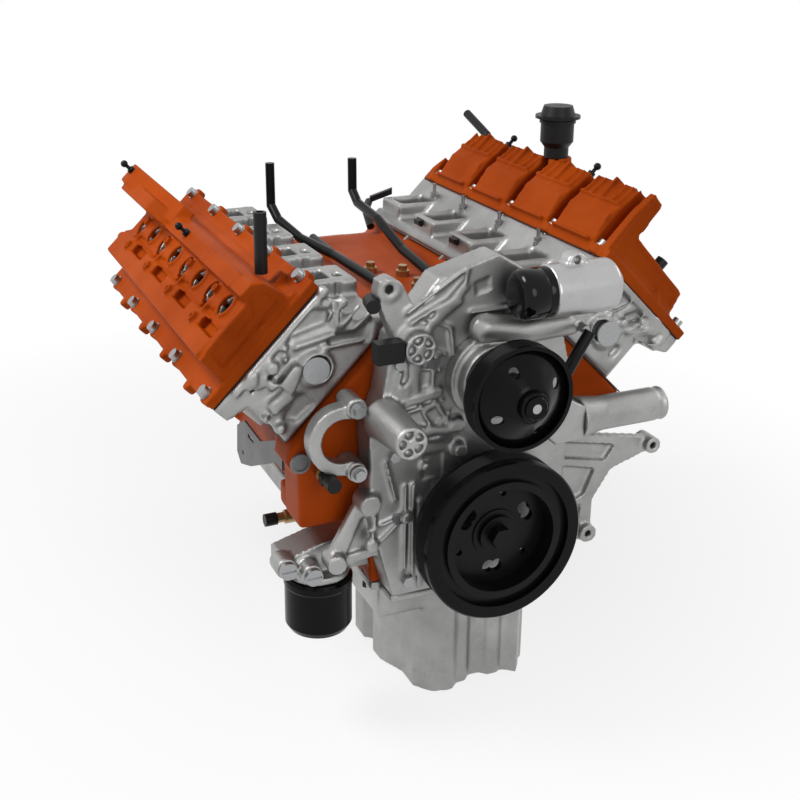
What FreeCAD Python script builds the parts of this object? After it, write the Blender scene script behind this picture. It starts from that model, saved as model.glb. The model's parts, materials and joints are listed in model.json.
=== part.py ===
import FreeCAD, Part
import math
import os
import Sketcher
from FreeCAD import Placement, Rotation, Vector

# Complete V8 engine, long-block form: iron block, two aluminium heads, covers, pan and front drive.
# Millimetres. The origin is on the crankshaft axis at the face of its rear flange,
# +Y runs to the rear along the crankshaft, +Z is up, and the engine's front looks along -Y.
# "left" and "right" name the banks as seen from the front, left being on the -X side.

SIZES = {
    # cylinder block and its grid
    "bank_angle": 90.0,
    "bore": 103.9,
    "bore_spacing": 113.3,
    "bank_stagger": 20.0,
    "deck_height": 234.95,
    "rear_throw_setback": 132.1,
    "block_front": 560.0,
    "block_rear": 12.0,
    "deck_outer": 80.0,
    "deck_inner": 98.0,
    "jacket_foot": 150.0,
    "skirt_half": 138.0,
    "skirt_foot": 120.0,
    "skirt_top": 22.0,
    "pan_rail_drop": 85.0,
    "valley_floor": 226.0,
    "valley_half": 86.0,
    "valley_dip": 23.0,
    "mount_pad": 213.0,
    "skirt_wall": 14.0,
    "bay_radius": 92.0,
    "bay_length": 88.0,
    "end_wall": 13.0,
    "bell_plate": 13.0,
    "bell_reach": 205.0,
    "bell_top": 200.0,
    "bell_hole": 5.5,
    "core_plug_radius": 20.0,
    "core_plug_depth": 6.0,
    "core_plug_station": 172.0,
    # crankshaft train
    "stroke": 90.9,
    "main_journal": 65.0,
    "main_width": 27.0,
    "crankpin": 54.0,
    "crankpin_length": 52.0,
    "web_radius": 37.0,
    "counterweight": 79.0,
    "flange_radius": 49.0,
    "flange_thick": 11.0,
    "flange_pcd": 76.2,
    "flange_hole": 5.0,
    "pilot_radius": 20.0,
    "pilot_depth": 14.0,
    "snout_radius": 19.0,
    "snout_reach": 645.0,
    "running_gap": 0.05,
    "carrier_radius": 6.0,
    "cap_half": 62.0,
    "cap_drop": 62.0,
    # pistons
    "skirt_gap": 0.3,
    "piston_height": 58.0,
    "crown_above_pin": 31.0,
    "rod_length": 157.5,
    "crown_thick": 8.0,
    "piston_wall": 5.0,
    "ring_groove": 1.6,
    "ring_depth": 3.0,
    "wrist_pin": 12.0,
    # camshaft and valve train
    "cam_height": 155.0,
    "cam_journal": 27.0,
    "lobe_base": 17.5,
    "lobe_lift": 7.0,
    "lobe_width": 13.0,
    "lifter_radius": 7.5,
    "lifter_length": 55.0,
    "lifter_start": 26.0,
    "pushrod_radius": 4.0,
    "pushrod_lean": 13.6,
    "passage_radius": 6.5,
    "rocker_pair": 8.0,
    "sprocket_pitch": 9.525,
    "crank_teeth": 16.0,
    "sprocket_width": 8.0,
    "chain_gap": 0.6,
    "chain_thick": 8.0,
    # cylinder heads
    "gasket": 1.2,
    "head_top": 334.0,
    "head_rail": 22.0,
    "rail_outer_left": 99.0,
    "rail_outer_right": 90.0,
    "rail_inner": 81.0,
    "head_length": 510.0,
    "head_setback": 37.0,
    "rocker_floor": 302.0,
    "rocker_outer": 64.0,
    "rocker_inner": 62.0,
    "chamber_radius": 62.3,
    "chamber_depth": 27.0,
    "intake_level": 273.0,
    "intake_tip": 101.0,
    "runner_floor": 252.0,
    "ring_half": 31.0,
    "ring_lip": 8.0,
    "port_w": 268.0,
    "port_radius": 15.0,
    "port_offset": 35.0,
    "mouth_half": 20.0,
    "mouth_reach": 162.0,
    "mouth_depth": 28.0,
    "exhaust_w": 266.0,
    "exhaust_face": 86.0,
    "well_radius": 12.0,
    "well_wall": 2.5,
    "plug_lift": 262.0,
    # valve covers
    "cover_gasket": 1.0,
    "cover_flange": 13.0,
    "cover_wall": 4.0,
    "cover_bolt": 3.2,
    "bolt_head": 6.6,
    "hole_gap": 0.3,
    "left_ridge": 399.0,
    "right_ridge": 437.0,
    "trough_top": 380.0,
    "breather_top": 440.0,
    "filler_y": 311.0,
    "filler_z": 366.4,
    # oil pan
    "pan_rail": 12.0,
    "pan_half": 124.0,
    "pan_wall": 4.0,
    "tray_drop": 62.0,
    "sump_front": 556.0,
    "sump_rear": 372.0,
    "sump_left": 68.0,
    "sump_right": 111.9,
    "sump_bottom": 270.0,
    "pan_rear": 22.0,
    # timing cover
    "timing_depth": 40.0,
    "timing_wall": 7.0,
    "seal_radius": 30.0,
    # crankshaft damper
    "damper_radius": 100.0,
    "damper_width": 42.0,
    "damper_face": 669.0,
    "damper_web": 65.0,
    "damper_recess": 25.0,
    "ring_inner": 84.0,
    # water pump
    "pump_x": 3.0,
    "pump_z": 185.0,
    "pump_face": 691.0,
    "pulley_radius": 62.0,
    "pulley_width": 25.0,
    "volute_radius": 52.0,
    "volute_depth": 34.0,
    "pump_shaft": 12.0,
    # coolant outlet and inlet
    "outlet_z": 287.0,
    "outlet_radius": 31.0,
    "outlet_left": 57.0,
    "outlet_right": 150.0,
    "outlet_y": 636.0,
    "dust_cap_radius": 29.5,
    "dust_cap_left": 16.0,
    "inlet_z": 113.0,
    "inlet_radius": 21.0,
    "inlet_start": 120.0,
    "inlet_tip": 246.0,
    "inlet_y": 610.0,
    # oil filter
    "filter_radius": 42.0,
    "filter_x": 184.0,
    "filter_y": 540.0,
    "filter_top": 65.0,
    "filter_bottom": 139.0,
}

doc = FreeCAD.newDocument("v8_engine")
sheet = doc.addObject("Spreadsheet::Sheet", "Sizes")
for row, (alias, amount) in enumerate(SIZES.items(), start=1):
    sheet.set(f"A{row}", alias)
    sheet.set(f"B{row}", str(amount))
    sheet.setAlias(f"B{row}", alias)
doc.recompute()


class Size:
    """A length or angle that knows its value and the sheet formula it comes from."""

    def __init__(self, value, text):
        self.value = float(value)
        self.text = text

    def __add__(self, other):
        return Size(self.value + value_of(other), f"({self.text} + {text_of(other)})")

    def __radd__(self, other):
        return Size(value_of(other) + self.value, f"({text_of(other)} + {self.text})")

    def __sub__(self, other):
        return Size(self.value - value_of(other), f"({self.text} - {text_of(other)})")

    def __rsub__(self, other):
        return Size(value_of(other) - self.value, f"({text_of(other)} - {self.text})")

    def __mul__(self, other):
        return Size(self.value * value_of(other), f"({self.text} * {text_of(other)})")

    def __rmul__(self, other):
        return Size(value_of(other) * self.value, f"({text_of(other)} * {self.text})")

    def __truediv__(self, other):
        return Size(self.value / value_of(other), f"({self.text} / {text_of(other)})")

    def __neg__(self):
        return Size(-self.value, f"(0 - {self.text})")


def value_of(size):
    return size.value if isinstance(size, Size) else float(size)


def text_of(size):
    return size.text if isinstance(size, Size) else f"({float(size)!r})"


def sine(angle):
    return Size(math.sin(math.radians(value_of(angle))), f"sin({text_of(angle)})")


def cosine(angle):
    return Size(math.cos(math.radians(value_of(angle))), f"cos({text_of(angle)})")


class Sheet:
    """Every driving size by its name."""

    def __getattr__(self, name):
        return Size(SIZES[name], "Sizes." + name)


S = Sheet()
X, Y, Z = Vector(1, 0, 0), Vector(0, 1, 0), Vector(0, 0, 1)
LEFT, RIGHT = -1, 1
SIDES = {"left": LEFT, "right": RIGHT}
half_angle = S.bank_angle / 2
front = -S.block_front
rear = -S.block_rear
rail_z = -S.pan_rail_drop
head_foot = S.deck_height + S.gasket
throw_stations = [-(S.rear_throw_setback + i * S.bore_spacing) for i in (3, 2, 1, 0)]
main_stations = [-(S.rear_throw_setback + (i - 0.5) * S.bore_spacing) for i in (4, 3, 2, 1, 0)]
throw_angles = (45.0, 135.0, 315.0, 225.0)
nodes = []


def new(kind, name):
    return doc.addObject(kind, name)


def bind(thing, name, size):
    setattr(thing, name, value_of(size))
    if isinstance(size, Size):
        thing.setExpression(name, size.text)


def place(thing, x=0.0, y=0.0, z=0.0, axis=None, angle=0.0):
    """Set a piece down at x, y, z, turned by an angle about an axis."""
    turn = Rotation(axis, value_of(angle)) if axis else Rotation()
    thing.Placement = Placement(Vector(value_of(x), value_of(y), value_of(z)), turn)
    for letter, size in (("x", x), ("y", y), ("z", z)):
        if isinstance(size, Size):
            thing.setExpression("Placement.Base." + letter, size.text)
    if axis and isinstance(angle, Size):
        thing.setExpression("Placement.Rotation.Angle", angle.text)
    return thing


def slab(x0, x1, y0, y1, z0, z1):
    """A rectangular block between two corners."""
    thing = new("Part::Box", "slab")
    bind(thing, "Length", x1 - x0)
    bind(thing, "Width", y1 - y0)
    bind(thing, "Height", z1 - z0)
    return place(thing, x0, y0, z0)


TURNS = {
    "x": (Y, 90.0),
    "-x": (Y, -90.0),
    "y": (X, -90.0),
    "-y": (X, 90.0),
    "z": (None, 0.0),
    "-z": (X, 180.0),
}


def rod(radius, length, x, y, z, along="y", sweep=None):
    """A round bar from a point along an axis; sweep makes it a sector."""
    thing = new("Part::Cylinder", "rod")
    bind(thing, "Radius", radius)
    bind(thing, "Height", length)
    if sweep:
        bind(thing, "Angle", sweep)
    axis, angle = TURNS[along]
    return place(thing, x, y, z, axis, angle)


def leaning_rod(radius, length, x, y, z, lean):
    """A round bar that leans from +Z towards +X by an angle."""
    thing = new("Part::Cylinder", "rod")
    bind(thing, "Radius", radius)
    bind(thing, "Height", length)
    return place(thing, x, y, z, Y, lean)


def cone(radius, tip_radius, length, x, y, z, along="y"):
    thing = new("Part::Cone", "cone")
    bind(thing, "Radius1", radius)
    bind(thing, "Radius2", tip_radius)
    bind(thing, "Height", length)
    axis, angle = TURNS[along]
    return place(thing, x, y, z, axis, angle)


def ball(radius, x, y, z):
    thing = new("Part::Sphere", "ball")
    bind(thing, "Radius", radius)
    return place(thing, x, y, z)


def trace(sketch, corners):
    """A closed outline whose corners sit at the given distances from the sketch's origin."""
    count = len(corners)
    spots = [Vector(value_of(a), value_of(b), 0) for a, b in corners]
    for i in range(count):
        sketch.addGeometry(Part.LineSegment(spots[i], spots[(i + 1) % count]), False)
    for i in range(count):
        sketch.addConstraint(Sketcher.Constraint("Coincident", i, 2, (i + 1) % count, 1))
    for i, corner in enumerate(corners):
        for kind, size in zip(("DistanceX", "DistanceY"), corner):
            index = sketch.addConstraint(
                Sketcher.Constraint(kind, -1, 1, i, 1, value_of(size))
            )
            if isinstance(size, Size):
                sketch.setExpression(f"Constraints[{index}]", size.text)


PLANES = {"xz": (X, 90.0), "xy": (None, 0.0), "yz": (Vector(1, 1, 1), 120.0)}


def outline(corners, plane="xz", offset=0.0):
    """A flat outline: xz looks from the front, xy from above, yz from the right-hand side."""
    sketch = new("Sketcher::SketchObject", "outline")
    trace(sketch, corners)
    axis, angle = PLANES[plane]
    at = {"xz": (0, offset, 0), "xy": (0, 0, offset), "yz": (offset, 0, 0)}[plane]
    return place(sketch, *at, axis, angle)


def prism(corners, start, end, plane="xz"):
    """The outline carried from one station to another across its plane."""
    near = end if plane == "xz" else start
    thing = new("Part::Extrusion", "prism")
    thing.Base = outline(corners, plane, near)
    thing.DirMode = "Normal"
    thing.Solid = True
    bind(thing, "LengthFwd", end - start)
    return thing


def turned(corners, axis=Y, base=(0.0, 0.0, 0.0)):
    """A solid of revolution from radius and height pairs, about Y or Z."""
    thing = new("Part::Revolution", "turned")
    thing.Source = outline(corners, "xy" if axis == Y else "xz")
    thing.Axis = axis
    thing.Base = Vector(0, 0, 0)
    thing.Angle = 360
    thing.Solid = True
    return place(thing, *base)


def loft(lower, upper, z0, z1):
    """A drafted wall between two outlines at two heights."""
    thing = new("Part::Loft", "loft")
    thing.Sections = [outline(lower, "xy", z0), outline(upper, "xy", z1)]
    thing.Solid = True
    thing.Ruled = True
    return thing


def fuse(*pieces):
    if len(pieces) == 1:
        return pieces[0]
    thing = new("Part::MultiFuse", "fused")
    thing.Shapes = list(pieces)
    return thing


def group(*pieces):
    """Separate solids that are handled as one piece."""
    thing = new("Part::Compound", "group")
    thing.Links = list(pieces)
    return thing


def cut(base, *tools):
    thing = new("Part::Cut", "cut")
    thing.Base = base
    thing.Tool = tools[0] if len(tools) == 1 else fuse(*tools)
    return thing


def common(base, tool):
    thing = new("Part::Common", "common")
    thing.Base = base
    thing.Tool = tool
    return thing


def move(piece, x=0.0, y=0.0, z=0.0, axis=None, angle=0.0):
    """The piece as a whole, set down somewhere else."""
    holder = new("Part::Compound", "moved")
    holder.Links = [piece]
    return place(holder, x, y, z, axis, angle)


def finish(piece, name, **where):
    """Name the piece as a sub-part of the engine."""
    if where:
        place(piece, **where)
    piece.Label = name
    nodes.append(piece)
    return piece


def bank(side, w, v):
    """Front-view X and Z of a point at w along a bank's cylinder axis and v towards the valley."""
    x = w * sine(half_angle) - v * cosine(half_angle)
    z = w * cosine(half_angle) + v * sine(half_angle)
    return (x * side, z)


def bank_turn(side):
    """Turn from the bank's own frame, Z along its cylinders, to the engine's frame."""
    return {"axis": Y, "angle": half_angle * side}


def bore_stations(side):
    return [station - side * S.bank_stagger / 2 for station in throw_stations]


def head_ends(side):
    """Front and rear Y of one bank's head, the banks being staggered."""
    shift = S.bank_stagger if side == RIGHT else 0.0
    back = -(S.head_setback + shift)
    return back - S.head_length, back


def rail_outer(side):
    """How far the cover rail of a head reaches to its outer side."""
    return S.rail_outer_left if side == LEFT else S.rail_outer_right


def bank_frame_x(side, v):
    """The bank's own X of a distance v towards the valley."""
    return v * (-side)


def bank_slab(side, v0, v1, y0, y1, w0, w1):
    """A block in the bank's own frame, from v0 to v1 towards the valley."""
    near, far = (v0, v1) if side == LEFT else (v1, v0)
    return slab(bank_frame_x(side, near), bank_frame_x(side, far), y0, y1, w0, w1)


def bank_outline(side, corners):
    """An outline of v and w pairs in the bank's own frame."""
    return [(bank_frame_x(side, v), w) for v, w in corners]


def cover_bolt_spots(side):
    """Y and v of the ten bolts that hold one valve cover."""
    start, back = head_ends(side)
    outer, inner = 9.0 - rail_outer(side), S.rail_inner - 5.0
    first = bore_stations(side)[0] - S.bore_spacing / 2
    rows = [(start + 15.0, outer)] + [(first + S.bore_spacing * i, outer) for i in range(1, 5)]
    return rows + [(first + S.bore_spacing * i, inner) for i in range(5)]


def pan_bolt_spots():
    """X and Y of the bolts along the pan rail."""
    reach = S.pan_half - 6.0
    step = (S.block_front - 60.0) / 5.0
    return [(reach * side, front + 25.0 + step * i) for side in (-1, 1) for i in range(6)]


TIMING_BOLTS = ((-107.0, 212.0), (-112.0, 100.0), (-108.0, 20.0), (-94.0, -66.0), (94.0, -66.0),
                (106.0, 20.0), (105.0, 178.0), (66.0, 208.0), (-66.0, 208.0))


def engine_block():
    """Deep-skirt iron block: crankcase, two banks, bulkheads, bores, cam tunnel and bell flange."""
    lift = S.deck_height
    half = [
        (S.skirt_foot, rail_z),
        (S.skirt_half, S.skirt_top),
        bank(RIGHT, S.jacket_foot, -S.deck_outer),
        bank(RIGHT, lift, -S.deck_outer),
        bank(RIGHT, lift, S.deck_inner),
        (S.valley_half, S.valley_floor),
    ]
    mirrored = [(-x, z) for x, z in reversed(half)]
    body = prism(half + mirrored, front, rear)
    bell = [
        (S.pan_half, rail_z),
        (S.bell_reach - 20.0, -20.0),
        (S.bell_reach, 60.0),
        (S.bell_reach - 20.0, 150.0),
        (S.bell_reach - 90.0, S.bell_top),
    ]
    bell = bell + [(-x, z) for x, z in reversed(bell)]
    plate = prism(bell, rear - S.bell_plate, rear)
    rails = slab(-S.pan_half, S.pan_half, front, rear, rail_z, rail_z + 12.0)
    cheeks = []
    for side in (LEFT, RIGHT):
        for i in range(4):
            y = bore_stations(side)[i]
            boss = rod(S.core_plug_radius + 5.0, 12.0, bank_frame_x(side, -S.deck_outer - 4.0) - 6.0,
                       y, S.core_plug_station, "x")
            cheeks.append(boss)
    bosses = [move(group(*cheeks[:4]), **bank_turn(LEFT)), move(group(*cheeks[4:]), **bank_turn(RIGHT))]
    pad_reach = S.mount_pad
    pad = prism([(-pad_reach, 5.0), (-pad_reach, 74.0), (-pad_reach - 13.0, 88.0), (-pad_reach - 11.0, 105.0),
                 (-190.0, 100.0), (-140.0, 20.0), (-136.0, 5.0)], front, front + 55.0)
    lump = slab(-186.0, -120.0, -436.0, -404.0, -36.0, -2.0)
    sensor_boss = rod(12.0, 50.0, -170.0, -424.0, -48.0, "x")
    casting = fuse(body, plate, rails, pad, lump, sensor_boss, *bosses)

    floor = S.valley_floor
    dip = prism([(-100.0, floor), (rear + 1.0, floor - S.valley_dip), (rear + 1.0, floor + 1.0)],
                2.0 - S.valley_half, S.valley_half - 2.0, "yz")
    tools = [dip]
    for side, back in ((LEFT, -34.0), (RIGHT, -52.0)):
        near, far = sorted((side * 60.0, side * 300.0))
        tools.append(slab(near, far, back, rear + 1.0, S.bell_top + 2.0, 300.0))
    for side in (LEFT, RIGHT):
        bores = [
            rod(S.bore / 2, lift - 70.0, 0.0, y, 75.0, "z") for y in bore_stations(side)
        ]
        plugs = []
        for y in bore_stations(side):
            face = bank_frame_x(side, -S.deck_outer - 10.0)
            seat = face if side == LEFT else face - S.core_plug_depth
            plugs.append(rod(S.core_plug_radius, S.core_plug_depth, seat, y, S.core_plug_station, "x"))
            for valve in (LEFT, RIGHT):
                x, w = bank_frame_x(side, cam_v()), cam_w()
                pushrod = leaning_rod(S.passage_radius, 180.0, x, y + S.rocker_pair * valve, w,
                                      S.pushrod_lean * side)
                lifter = leaning_rod(S.lifter_radius + S.running_gap, S.lifter_start + S.lifter_length + 4.0,
                                     x, y + S.rocker_pair * valve, w, S.pushrod_lean * side)
                bores += [pushrod, lifter]
        bores += [rod(5.8, 48.0, bank_frame_x(side, v), y, lift - 47.0, "z") for y, v in head_bolt_spots(side)]
        tools.append(move(fuse(*bores), **bank_turn(side)))
        tools.append(move(group(*plugs), **bank_turn(side)))
    for station in throw_stations:
        y0 = station - S.bay_length / 2
        tools.append(rod(S.bay_radius, S.bay_length, 0.0, y0, 0.0))
    foot, brow = S.skirt_foot - S.skirt_wall, S.skirt_half - S.skirt_wall - 8.0
    crankcase = [(-foot, rail_z), (-brow, 0.0), (brow, 0.0), (foot, rail_z)]
    tools.append(prism(crankcase, front + S.end_wall, rear - S.end_wall))
    tools.append(rod(S.main_journal / 2 + S.running_gap, S.block_front + 2.0, 0.0, front - 1.0, 0.0))
    tools.append(rod(S.cam_journal + S.running_gap, S.block_front + 2.0, 0.0, front - 1.0, S.cam_height))
    tools += [rod(S.hole_gap + 3.0, 12.0, x, y, rail_z, "z") for x, y in pan_bolt_spots()]
    tools += [rod(S.hole_gap + 3.0, 14.0, x, front, z) for x, z in TIMING_BOLTS]
    for x, z in bell_holes():
        tools.append(rod(S.bell_hole, S.bell_plate, x, rear - S.bell_plate, z))
    finish(cut(casting, *tools), "engine_block")


def skirt_x(z):
    """How far the sloping side of the crankcase stands from the middle at a height."""
    slope = (S.skirt_half - S.skirt_foot) / (S.skirt_top + S.pan_rail_drop)
    return S.skirt_foot + (S.pan_rail_drop + z) * slope


def bell_holes():
    """Front-view centres of the bolts round the bell housing face."""
    half = ((120.0, -62.0), (174.0, 0.0), (188.0, 75.0), (162.0, 160.0), (104.0, 186.0))
    return [(x * side, z) for side in (-1, 1) for x, z in half]


def cam_w():
    return S.cam_height * cosine(half_angle)


def cam_v():
    return S.cam_height * sine(half_angle)


def main_bearing_caps():
    """Five caps under the crankshaft, each on its bulkhead."""
    caps = []
    for i, station in enumerate(main_stations):
        thick = S.bore_spacing - S.bay_length
        y0 = station - thick / 2
        if i == 0:
            y0 = front + S.end_wall + 0.5
            thick = station + S.main_width / 2 - y0
        if i == 4:
            thick = rear - S.end_wall - 0.5 - y0
        half, drop = S.cap_half, S.cap_drop
        shape = [(half, -0.4), (half, -22.0), (half - 16.0, -drop), (16.0 - half, -drop), (-half, -22.0), (-half, -0.4)]
        body = prism(shape, y0, y0 + thick)
        bore = rod(S.main_journal / 2 + S.running_gap, thick + 2.0, 0.0, y0 - 1.0, 0.0)
        caps.append(cut(body, bore))
    finish(group(*caps), "main_bearing_caps")


def crankshaft():
    """Cross-plane forged crankshaft: five journals, four throws, rear flange and front snout."""
    pieces = []
    for station in main_stations[:4]:
        pieces.append(rod(S.main_journal / 2, S.main_width + 2.0, 0.0, station - S.main_width / 2 - 1.0, 0.0))
    last = main_stations[4] - S.main_width / 2
    pieces.append(rod(S.main_journal / 2, -last - 1.0, 0.0, last - 1.0, 0.0))
    pieces.append(rod(S.flange_radius, S.flange_thick, 0.0, -S.flange_thick, 0.0))
    pieces.append(rod(S.snout_radius, S.snout_reach + main_stations[0], 0.0, -S.snout_reach, 0.0))
    web = (S.bore_spacing - S.main_width - S.crankpin_length) / 2
    throw = S.stroke / 2
    for station, angle in zip(throw_stations, throw_angles):
        start = station - S.crankpin_length / 2
        parts = [rod(S.crankpin / 2, S.crankpin_length + 2.0, throw, start - 1.0, 0.0)]
        for y in (start - web, start + S.crankpin_length):
            parts.append(rod(S.web_radius, web, throw, y, 0.0))
            parts.append(slab(-10.0, throw, y, y + web, -S.web_radius, S.web_radius))
            weight = rod(S.counterweight, web, 0.0, y, 0.0, "y", 140.0)
            parts.append(move(weight, axis=Y, angle=-110.0))
        body = fuse(*parts)
        hole = rod(S.carrier_radius + S.running_gap, web, throw / 2, start - web, 0.0)
        pieces.append(move(cut(body, hole), axis=Y, angle=-angle))
    body = fuse(*pieces)
    holes = [rod(S.pilot_radius, S.pilot_depth, 0.0, -S.pilot_depth, 0.0)]
    for i in range(8):
        x, z = S.flange_pcd / 2 * cosine(45.0 * i), S.flange_pcd / 2 * sine(45.0 * i)
        holes.append(rod(S.flange_hole, S.flange_thick, x, -S.flange_thick, z))
    holes.append(rod(8.5, 45.0, 0.0, -S.snout_reach, 0.0))
    for station, angle in zip(throw_stations, throw_angles):
        seat_start = station - S.crankpin_length / 2 - web
        x, z = throw / 2 * cosine(angle), throw / 2 * sine(angle)
        holes.append(rod(S.carrier_radius + S.running_gap, web, x, seat_start, z))
    finish(cut(body, *holes), "crankshaft")


def throw_carriers():
    """Round plugs in the front web of each throw, half way out to the crankpin."""
    web = (S.bore_spacing - S.main_width - S.crankpin_length) / 2
    for i, (station, angle) in enumerate(zip(throw_stations, throw_angles), start=1):
        start = station - S.crankpin_length / 2 - web + 0.3
        x, z = S.stroke / 4 * cosine(angle), S.stroke / 4 * sine(angle)
        plug = rod(S.carrier_radius, web - 0.6, 0.0, 0.0, 0.0)
        finish(plug, f"crank_gallery_plug_{i}", x=x, y=start, z=z, axis=X, angle=-90.0)


def pistons():
    """Eight slipper pistons with ring grooves and a wrist-pin bore, each at its own height."""
    radius = S.bore / 2 - S.skirt_gap
    tall, top = S.piston_height, S.crown_above_pin
    land, groove, deep = 5.0, S.ring_groove, S.ring_depth
    profile = [(0.0, top), (radius, top)]
    edge = top
    for i in range(3):
        profile += [(radius, edge - land), (radius - deep, edge - land),
                    (radius - deep, edge - land - groove), (radius, edge - land - groove)]
        edge = edge - land - groove
    profile += [(radius, top - tall), (radius - S.piston_wall, top - tall),
                (radius - S.piston_wall, top - S.crown_thick), (0.0, top - S.crown_thick)]
    for name, side in SIDES.items():
        for i, (station, angle) in enumerate(zip(bore_stations(side), throw_angles), start=1):
            lean = 45.0 if side == RIGHT else 135.0
            rise = S.stroke / 2 * cosine(angle - lean)
            body = turned(profile, axis=Z)
            pin = rod(S.wrist_pin, S.bore - 8.0, 0.0, 4.0 - S.bore / 2, 0.0)
            boss = common(rod(S.wrist_pin + 5.0, S.bore, 0.0, -S.bore / 2, 0.0),
                          rod(radius - 1.0, tall - 12.0, 0.0, 0.0, top - tall + 10.0, "z"))
            bosses = cut(boss, slab(-30.0, 30.0, -16.0, 16.0, -30.0, 30.0))
            reliefs = [slab(a, a + 30.0, -60.0, 60.0, -60.0, top - 30.0) for a in (30.0, -60.0)]
            shape = cut(fuse(body, bosses), pin, *reliefs)
            lifted = move(shape, z=S.rod_length + rise)
            finish(move(lifted, y=station, **bank_turn(side)), f"piston_{name}_{i}")


def camshaft():
    """Camshaft with five journals and sixteen lobes, above the crankshaft."""
    pieces = [rod(S.lobe_base - 4.0, S.block_front - 40.0, 0.0, front + 2.0, 0.0)]
    for station in main_stations:
        pieces.append(rod(S.cam_journal, S.main_width - 5.0, 0.0, station - S.main_width / 2 + 2.0, 0.0))
    lobe = 0
    for side in (LEFT, RIGHT):
        for station in bore_stations(side):
            for valve in (LEFT, RIGHT):
                y = station + S.rocker_pair * valve - S.lobe_width / 2
                angle = 67.0 * lobe
                x = S.lobe_lift * math.cos(math.radians(angle))
                z = S.lobe_lift * math.sin(math.radians(angle))
                pieces.append(rod(S.lobe_base, S.lobe_width, x, y, z))
                lobe += 1
    pieces.append(rod(13.0, 36.0, 0.0, front - 30.0, 0.0))
    finish(fuse(*pieces), "camshaft", z=S.cam_height)


def lifters_and_pushrods():
    """Sixteen roller-lifter bodies and their pushrods, leaning from the cam to the rockers."""
    banks = []
    for side in (LEFT, RIGHT):
        pieces = []
        for station in bore_stations(side):
            for valve in (LEFT, RIGHT):
                start = S.lobe_base + S.lobe_lift + 1.5
                body = rod(S.lifter_radius, S.lifter_length, 0.0, 0.0, start, "z")
                stick = rod(S.pushrod_radius, S.deck_height - start - S.lifter_length, 0.0, 0.0,
                            start + S.lifter_length - 1.0, "z")
                x = bank_frame_x(side, cam_v())
                pieces.append(move(fuse(body, stick), x, station + S.rocker_pair * valve, cam_w(),
                                   Y, S.pushrod_lean * side))
        banks.append(move(group(*pieces), **bank_turn(side)))
    finish(group(*banks), "lifters_and_pushrods")


def well_spots(side):
    """Y of the eight spark-plug wells of one bank, two at each cylinder."""
    return [y + sign * S.bore_spacing / 4 for y in bore_stations(side) for sign in (-1, 1)]


def head_bolt_spots(side):
    """Y and v of the ten bolts round the bores of one head."""
    first = bore_stations(side)[0] - S.bore_spacing / 2
    rows = [first + S.bore_spacing * i for i in range(5)]
    return [(y, v) for y in rows for v in (-54.0, 52.0)]


def level_point(x, z):
    """v and w of a point given by its distance outward from the engine's middle and its height."""
    return ((z - x) * cosine(half_angle), (z + x) * cosine(half_angle))


def intake_mouths(side):
    """The mouths of one bank's intake ports, cut into their rings; a web crosses the left ones."""
    top, near, far = S.intake_level + 4.0, S.intake_tip + S.ring_lip, S.mouth_reach
    floor = S.intake_level - S.mouth_depth
    mouths = []
    for y in bore_stations(side):
        y0, y1 = y + S.port_offset - S.mouth_half, y + S.port_offset + S.mouth_half
        web = near
        if side == LEFT:
            web = near + 15.0
            corner = prism([(-near, y0 + 3.0), (-near - 7.0, y1 - 4.0), (-web, y0 + 3.0)], floor, top, "xy")
            mouths.append(move(corner, axis=Y, angle=-half_angle * side))
        wall = [level_point(web + 4.0, floor), level_point(far, floor), level_point(far, top),
                level_point(web + 4.0, top)]
        mouths.append(prism(bank_outline(side, wall), y0, y1))
    return mouths


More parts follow.
